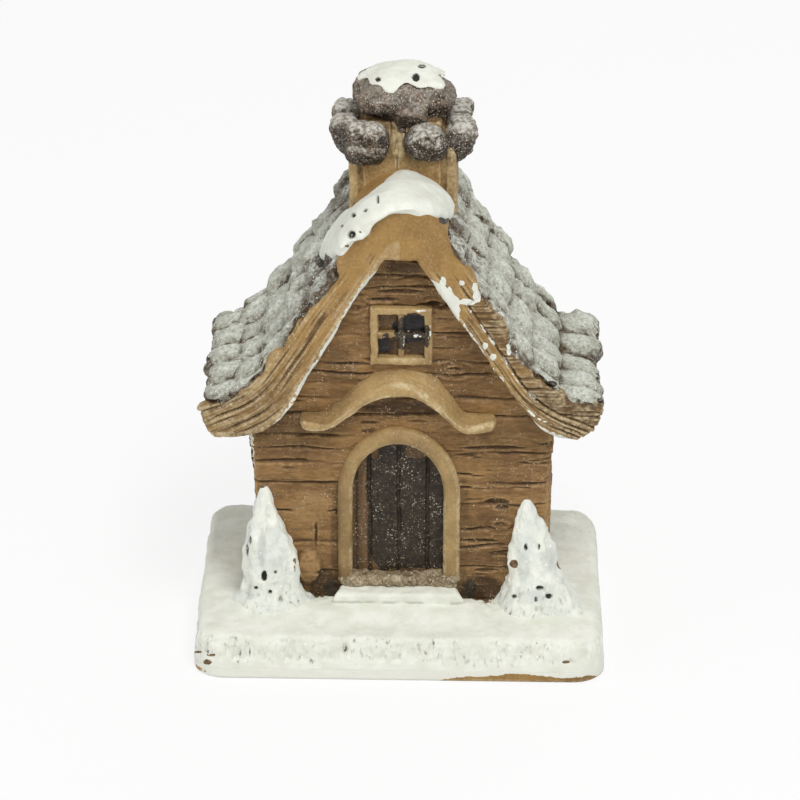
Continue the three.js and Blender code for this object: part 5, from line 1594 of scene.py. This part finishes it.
def cap_shape(x, y, z, grow):
    """The stone on the chimney, drawn in towards its foot and larger all round by grow."""
    waist = 1 - 0.1 * np.clip(59.6 - z, 0, 2)
    return pebble(x / waist, (y - CHIMNEY_Y) / waist, z - CAP_Z, CAP_HALF + grow, 2.3)


def cap_lumps(p):
    """The stone's unevenness, calmer towards the top."""
    facets = np.clip(fbm(p, 3.0, 141, 1) * 2.4, -0.8, 0.6)
    top = between(p[:, 2], 60.8, 62.2)
    return (0.6 * facets + 0.38 * fbm(p, 1.2, 143, 3)) * (1 - 0.75 * top) + 0.08 * fbm(p, 0.4, 147, 2)


def chimney_crown():
    """The rough stone on top of the chimney."""
    skin = skin_of(lambda x, y, z: cap_shape(x, y, z, 0), (-6.4, -0.9, 56.8), (6.4, 11.3, 63.6), 0.13)
    skin.push(cap_lumps(skin.p))
    shade_stone(skin)
    skin.marks["rub_and_highlight"] *= 0.3
    skin.p[:, 2] = np.minimum(skin.z, 62.95)
    return skin


def cap_snow():
    """Snow on the cap with a scalloped lower edge."""

    def field(x, y, z):
        angle = np.arctan2(y - CHIMNEY_Y, x)
        scallops = 0.22 * np.cos(5 * angle + 0.4) + 0.16 * np.cos(9 * angle + 1.0)
        line = SNOW_LINE - 0.35 * (x / 5) ** 2 - 0.3 * between(y, 5, 10)
        return soft_max(cap_shape(x, y, z, 0.24), line + scallops - z, 0.22)

    skin = skin_of(field, (-6.3, -0.7, 60.4), (6.3, 11.1, 63.7), 0.12)
    skin.push(cap_lumps(skin.p) + 0.05 * fbm(skin.p, 1.2, 151, 3))
    over = np.maximum(skin.z - 62.9, 0)
    skin.p[:, 2] -= over * 0.75
    pits = skin.sink(CAP_PITS, 0.2)
    skin.darken_hollows_lighten_heights(0.06, 0.35)
    skin.marks["pit"] = between(pits, 0.3, 0.7)
    return skin


place("chimney_shaft", chimney_shaft(), chimney_finish, "light_resin", "chimney_stack")
for number, (name, seat) in enumerate(STONES.items()):
    stone = collar_stone(number, *seat)
    place(f"stone_{name}", stone, stone_finish, "dark_stone", f"collar_stone_{name}")
place("chimney_crown", chimney_crown(), stone_finish, "dark_stone", "chimney_cap")
place("chimney_cap_snow", cap_snow(), snow_paint, "painted_snow", "chimney_snow")


# Firs.
# How far a fir reaches from its axis, in millimetres, by share of its height.
FIR_PROFILES = {
    -1: (
        (0.0, 5.2), (0.075, 4.4), (0.13, 3.6), (0.2, 3.1), (0.33, 3.0), (0.46, 2.8), (0.58, 2.35),
        (0.77, 1.45), (0.88, 0.95), (0.95, 0.6), (1.0, 0.2),
    ),
    1: (
        (0.0, 5.4), (0.1, 4.6), (0.243, 3.6), (0.36, 3.0), (0.42, 2.9), (0.566, 2.5), (0.72, 1.75),
        (0.875, 1.0), (0.95, 0.6), (1.0, 0.2),
    ),
}
FIR_HEIGHTS = {-1: 14.6, 1: 13.6}
FIR_FOOT = 4.8
# How far to the side a fir's axis stands.
FIR_CORNER = FOOT_HALF + 0.89 - 1.85
# Pits in the firs, in the picture.
FIR_PITS = {
    -1: (
        (264, 576, 2.2, 4.4, 1.5), (250, 540, 1.1, 3.5, 1.3), (247, 550, 1.1, 5, 1.3),
        (276, 572, 1.3, 1.3, 1.0), (256, 588, 1.4, 1.4, 1.1), (270, 592, 1.6, 1.4, 1.0),
        (295.5, 539, 1.4, 7, 1.2),
    ),
    1: (
        (526, 547, 1.3, 3, 1.5), (538.6, 547, 1.0, 2.4, 1.4), (540, 588, 3.2, 1.8, 1.3),
        (549, 596, 3, 2.0, 1.2), (514, 596.5, 2, 1.6, 1.4), (536, 599, 1.6, 2.2, 1.4),
    ),
}
# Painted bluish grey shade on the firs, in the picture.
FIR_SHADE = {
    -1: ((262, 548, 4, 16, 0.55), (284, 560, 4, 14, 0.45), (254, 590, 8, 8, 0.4)),
    1: (
        (524, 566, 6, 12, 0.55), (548, 560, 7, 12, 0.5), (538, 520, 3, 12, 0.4), (530, 598, 14, 6, 0.4),
    ),
}


# Where a fir's bare resin shows, in the picture.
FIR_BARE = ((514, 564, 4, 4, 1.0), (561, 564, 4.5, 5, 1.1), (294, 565, 2, 10, 0.6))


def fir(side, seed):
    """A snow-laden fir: rippled rings round an axis that leans, with closer rings at the tip."""
    height = FIR_HEIGHTS[side]
    columns = 170
    rise = np.concatenate([np.linspace(0, 0.95, 118), np.linspace(0.955, 0.9999, 12)])
    reach = along_line(rise, FIR_PROFILES[side])
    reach = np.where(rise > 0.98, reach * np.sqrt(np.clip((1 - rise) / 0.02, 0, 1)), reach)
    angles = np.linspace(0, 2 * math.pi, columns, endpoint=False)
    loops = []
    for r, radius in zip(rise, reach):
        center = 0.55 + side * FIR_CORNER - r + (0.35 * (1 - r) if side > 0 else -0.1)
        radius = max(radius, 0.03)
        ripple = 1 + 0.05 * np.cos(4 * angles + seed + 2 * r)
        ripple = ripple + 0.04 * np.cos(7 * angles + 2 * seed + 5 * r)
        x = center + radius * ripple * np.cos(angles)
        y = HOUSE_FRONT + radius * ripple * 0.78 * np.sin(angles)
        loops.append(np.stack([x, y, np.full(columns, FIR_FOOT + r * height)], 1))
    skin = tube(loops)
    wide = between(skin.z, FIR_FOOT + height * 0.97, FIR_FOOT + height * 0.8)
    flow = skin.p * (1, 1, 0.6)
    facets = np.clip(2.4 * fbm(flow, 1.7, 161 + seed, 2), -0.7, 0.7)
    crumple = 1 - 2 * np.abs(fbm(flow, 1.2, 163 + seed, 2))
    rough = 0.24 * facets + 0.16 * crumple + 0.12 * fbm(flow, 0.6, 165 + seed, 3)
    rough = rough + 0.05 * fbm(skin.p, 0.3, 167, 2) - 0.16
    skin.push(rough * (0.3 + 0.7 * wide))
    pits = skin.sink(FIR_PITS[side], 0.3)
    skin.darken_hollows_lighten_heights(0.05, 0.26)
    # Painted bluish grey shade, broken up by noise.
    bluish_shade = spots(skin.p, FIR_SHADE[side]) * (0.6 + 0.6 * fbm(skin.p, 1.0, 169, 3))
    skin.add("wash_and_shade", bluish_shade)
    skin.marks["pit"] = np.clip(pits * 1.4, 0, 1)
    skin.marks["rough"] = 0.7 * between(skin.z, 10.5, 6.5)
    tip = between(skin.z, FIR_FOOT + height * 0.955, FIR_FOOT + height * 0.985)
    skin.marks["bare"] = tip * (0.8 if side > 0 else 0.45) + spots(skin.p, FIR_BARE) * 0.9
    return skin


place("fir_left", fir(-1, 1), fir_paint, "painted_snow", "fir_tree_left")
place("fir_right", fir(1, 2), fir_paint, "painted_snow", "fir_tree_right")


# Base and step.
BASE_HALF_X, BASE_HALF_Y = BASE_HIGH[0], BASE_HIGH[1]
# The base's corner radius, and how far its right side draws in towards the rear.
BASE_CORNER, REAR_NARROWING = 3.6, 0.8


def base_outline(count, inset=0.0):
    """The base's outline, anticlockwise, with closer steps at the front."""
    radius = max(BASE_CORNER - inset, 0.8)
    half_y = BASE_HALF_Y - inset
    points = []
    for number, (sx, sy) in enumerate(((1, 1), (-1, 1), (-1, -1), (1, -1))):
        cy = sy * (half_y - radius)
        share = (cy + BASE_HALF_Y - BASE_CORNER) / (2 * (BASE_HALF_Y - BASE_CORNER))
        half_x = BASE_HALF_X - inset - (REAR_NARROWING * share if sx > 0 else 0)
        angles = (number + np.linspace(0, 1, 24)) * math.pi / 2
        cx = sx * (half_x - radius)
        points.append(np.stack([cx + radius * np.cos(angles), cy + radius * np.sin(angles)], 1))
    points = np.concatenate(points)
    closed = np.concatenate([points, points[:1]])
    gaps = np.hypot(*np.diff(closed, axis=0).T)
    weight = np.where((closed[:-1, 1] + closed[1:, 1]) / 2 < -5, 2.2, 1.0)
    distance = np.concatenate([[0], np.cumsum(gaps * weight)])
    even = np.linspace(0, distance[-1], count, endpoint=False)
    return np.stack([np.interp(even, distance, closed[:, n]) for n in (0, 1)], 1)


def ring_at(inset, z, count):
    """The base's outline at a height, drawn in by inset."""
    return np.column_stack([base_outline(count, inset), np.full(count, z)])


# Top of the bare place on the front of the base, by x.
BARE_LINE = ((4.5, 0.2), (8, 0.75), (13, 1.05), (18, 0.75), (20.5, 0.8), (21.8, 0.2))


def plinth():
    """The resin foot of the base, mostly under white paint."""
    count = 700
    rings = [ring_at(i, z, count) for i, z in ((0.3, 0.0), (0.12, 0.12), (0.0, 0.32))]
    rings += [ring_at(0.0, z, count) for z in np.linspace(0.45, 1.25, 7)]
    skin = tube(rings)
    free = between(skin.z, 0.02, 0.25)
    skin.push((0.12 * fbm(skin.p, 1.6, 181, 3) - 0.1) * free)
    skin.darken_hollows_lighten_heights()
    x, y, z = skin.p.T
    wave = 0.25 * fbm(skin.p, 2.0, 183, 3)
    bare_end = between(x, 4.0, 5.5) * between(y, -12.0, -13.5)
    line = along_line(x, BARE_LINE) + wave
    skin.marks["paint"] = np.clip(1 - bare_end * between(line - z, -0.05, 0.05), 0, 1)
    corner_rim = between(x, -20.6, -21.6) * between(y, -13.5, -15.0) * between(z, 0.9, 0.5)
    skin.marks["paint"] *= 1 - 0.7 * corner_rim
    skin.add("wash_and_shade", 0.5 * between(x, 14, 20))
    return skin


# Height of the snow by its distance in from the edge, past its rounded rim, and its side's
# lower end, height and inset and the rim's radii.
SNOW_RISE = ((1.45, 5.15), (6.7, 5.9), (14.0, 5.95))
SIDE_FOOT, SIDE_HEIGHT, SIDE_INSET, RIM_WIDTH, RIM_HEIGHT = 1.15, 2.6, 0.15, 1.3, 1.4
HEAP_BUMPS = ((-9.3, -8.4, 5.9, 1.0, 0.9), (8.8, -8.4, 5.9, 1.6, 0.9))


def ground():
    """The snow on the base: a lumpy side, a rounded rim, and a top that rises towards the house."""
    count = 820
    rings = [ring_at(0.05, SIDE_FOOT, count)]
    for t in np.linspace(0.04, 1, 24):
        rings.append(ring_at(SIDE_INSET * t, SIDE_FOOT + SIDE_HEIGHT * t, count))
    rim_foot = SIDE_FOOT + SIDE_HEIGHT
    for a in np.linspace(0.08, math.pi / 2, 13):
        inset = SIDE_INSET + RIM_WIDTH * (1 - math.cos(a))
        rings.append(ring_at(inset, rim_foot + RIM_HEIGHT * math.sin(a), count))
    rings += [ring_at(i, along_line(i, SNOW_RISE), count) for i in np.linspace(1.65, 8.6, 44)]
    rings += [ring_at(i, 5.9, count) for i in (9.4, 10.6, 12.0, 14.0)]
    skin = tube(rings)
    x, y, z = skin.p.T
    band = between(z, 5.0, 4.4) * between(y, -5, -12)
    upright = skin.p * (1, 1, 0.35)
    texture = np.minimum(0.34 * fbm(upright, 0.8, 191, 3) + 0.2 * fbm(upright, 0.36, 193, 2), 0.08)
    swell = 0.2 * fbm(skin.p, 4.5, 195, 2) + 0.12 * fbm(skin.p, 1.5, 197, 3)
    swell = swell + 0.05 * fbm(skin.p, 0.5, 198, 2)
    ledge = between(z, 2.6, 1.9)
    amount = swell * (1 - 0.5 * band) + band * (1 - ledge) * (texture - 0.1) - 0.12
    distance, owner = cells(skin.p, 1.7, 199)
    pit = between(distance, 0.15, 0.08) * (owner > 0.9) * between(y, -6, -12)
    heap = between(y, -8.6, -9.6) * between(y, -14.6, -12.0) * between(np.abs(x - DOOR_X), 11.5, 7.5)
    skin.push(amount - 0.3 * pit + 0.65 * heap * between(z, 5.0, 5.8))
    skin.darken_hollows_lighten_heights(0.08, 0.4)
    x, y, z = skin.p.T
    back_left = between(x, -15.0, -18.0) * between(y, 4.0, 11.0)
    back_right = between(x, 16.0, 18.0) * between(y, 6.0, 10.0)
    mottled = 0.5 + 0.9 * fbm(skin.p, 1.6, 201, 3)
    brown = 0.45 * back_right * between(x, 15.0, 17.0) * between(x, 19.0, 16.5)
    shade = (0.12 * back_left + 0.4 * back_right) * mottled
    skin.add("wash_and_shade", shade + 0.5 * brown, keep=0.55)
    skin.marks["pit"] = pit
    patchy = between(fbm(skin.p, 3.0, 205, 2), -0.35, 0.2)
    front_band = between(z, 5.1, 4.5) * between(z, 1.6, 2.4) * between(y, -11, -13) * between(x, 19, 15)
    skin.marks["rough"] = np.clip(front_band * (0.35 + 0.65 * patchy) + 0.35 * back_right, 0, 1)
    soil = spots(skin.p, GROUND_SOIL)
    soil = soil + bumps_at(skin.p, HEAP_BUMPS)
    skin.marks["bare"] = np.clip(soil, 0, 1)
    return skin


def step_snow():
    """The snow-covered step, wider at its foot and rising to the rear, with a painted shadow line along
    its foot.
    """
    center, half = np.array((DOOR_X, -9.3, 6.2)), np.array((6.9, 1.5, 1.4))

    def field(x, y, z):
        widen = 1 + 0.07 * np.clip(7.5 - z, 0, 2) - 0.05 * np.clip(y + 10.8, 0, 3)
        off_y = y - center[1]
        return rounded_box((x - center[0]) / widen, off_y, z - center[2] - 0.1 * off_y, half, 0.4)

    skin = skin_of(field, center - half - 1.6, center + half + 1.6, 0.13)
    skin.push(0.22 * fbm(skin.p, 1.8, 211, 3) + 0.06 * fbm(skin.p, 0.5, 213, 2))
    skin.darken_hollows_lighten_heights(0.06, 0.3)
    # A broken painted shadow line along the step's foot.
    foot = between(skin.z, 6.75, 6.5) * between(fbm(skin.p, 1.4, 215, 2), -0.3, 0.0)
    skin.add("wash_and_shade", 0.8 * foot)
    return skin


# Places on the base where bare resin shows through the paint, in the picture.
GROUND_SOIL = (
    (207.5, 662, 4, 2.4, 1.3), (198, 652, 4, 1.2, 1.1), (211, 655, 4, 1.3, 1.1),
    (566, 662, 4, 1.6, 0.8),
)

place("plinth_edge", plinth(), board_finish, "brown_resin", "base_plinth")
place("snow_bank", ground(), ground_paint, "painted_snow", "snow_ground")
place("step_snow", step_snow(), snow_paint, "painted_snow", "door_step")

# What stays of the solids is out of sight or only seen from below, and takes the resin finish.
for name in ("house_core", "roof_deck_left", "roof_deck_right"):
    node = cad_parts[name]
    node.data.materials.clear()
    node.data.materials.append(plank_finish)


# Floor, light and camera.
FLOOR_REACH = 3.0
FLOOR_GLOW = 0.82


def studio_floor():
    """A pale sheet that looks white to the camera and still takes shadows."""
    mesh = bpy.data.meshes.new("floor")
    r = FLOOR_REACH
    mesh.from_pydata([(-r, -r, 0), (r, -r, 0), (r, r, 0), (-r, r, 0)], [], [(0, 1, 2, 3)])
    floor = bpy.data.objects.new("floor", mesh)
    bpy.context.scene.collection.objects.link(floor)
    paper = bpy.data.materials.new("paper")
    paper.use_nodes = True
    tree = paper.node_tree
    tree.nodes.clear()
    output = tree.nodes.new("ShaderNodeOutputMaterial")
    matt = tree.nodes.new("ShaderNodeBsdfDiffuse")
    matt.inputs["Color"].default_value = linear((246, 246, 246))
    glow = tree.nodes.new("ShaderNodeEmission")
    glow.inputs["Strength"].default_value = 1.0
    share = tree.nodes.new("ShaderNodeMixShader")
    path = tree.nodes.new("ShaderNodeLightPath")
    level = tree.nodes.new("ShaderNodeMath")
    level.operation = "MULTIPLY"
    level.inputs[1].default_value = FLOOR_GLOW
    tree.links.new(path.outputs["Is Camera Ray"], level.inputs[0])
    tree.links.new(level.outputs[0], share.inputs[0])
    tree.links.new(matt.outputs[0], share.inputs[1])
    tree.links.new(glow.outputs[0], share.inputs[2])
    tree.links.new(share.outputs[0], output.inputs[0])
    mesh.materials.append(paper)


LAMP_AIM = Vector((0, 0, 0.03))
SENSOR = 36


def lamp(name, place_at, size, power):
    """A round lamp that faces the object. Sizes in metres, power in watts."""
    data = bpy.data.lights.new(name, "AREA")
    data.shape = "DISK"
    data.size = size
    data.energy = power
    obj = bpy.data.objects.new(name, data)
    obj.location = place_at
    obj.rotation_euler = (LAMP_AIM - Vector(place_at)).to_track_quat("-Z", "Y").to_euler()
    bpy.context.scene.collection.objects.link(obj)


def studio_light():
    """An even grey room with a soft key lamp and two weaker ones."""
    world = bpy.data.worlds.new("studio")
    bpy.context.scene.world = world
    world.use_nodes = True
    background = world.node_tree.nodes["Background"]
    background.inputs["Color"].default_value = (1.0, 0.995, 0.985, 1)
    background.inputs["Strength"].default_value = 0.44
    lamp("key", (0.12, -0.26, 0.44), 0.2, 1.35)
    lamp("fill", (-0.38, -0.25, 0.26), 0.3, 0.45)
    lamp("back", (0.1, 0.45, 0.32), 0.3, 0.3)


def studio_camera():
    """The photograph's view."""
    data = bpy.data.cameras.new("camera")
    data.sensor_width = SENSOR
    data.lens = FOCAL * SENSOR / PICTURE
    data.clip_start = 0.01
    data.clip_end = 10
    camera = bpy.data.objects.new("camera", data)
    camera.location = EYE * MM
    camera.rotation_euler = (math.pi / 2 - ELEVATION, 0, AZIMUTH)
    bpy.context.scene.collection.objects.link(camera)
    bpy.context.scene.camera = camera
    bpy.context.scene.view_settings.view_transform = "Standard"


studio_floor()
studio_light()
studio_camera()
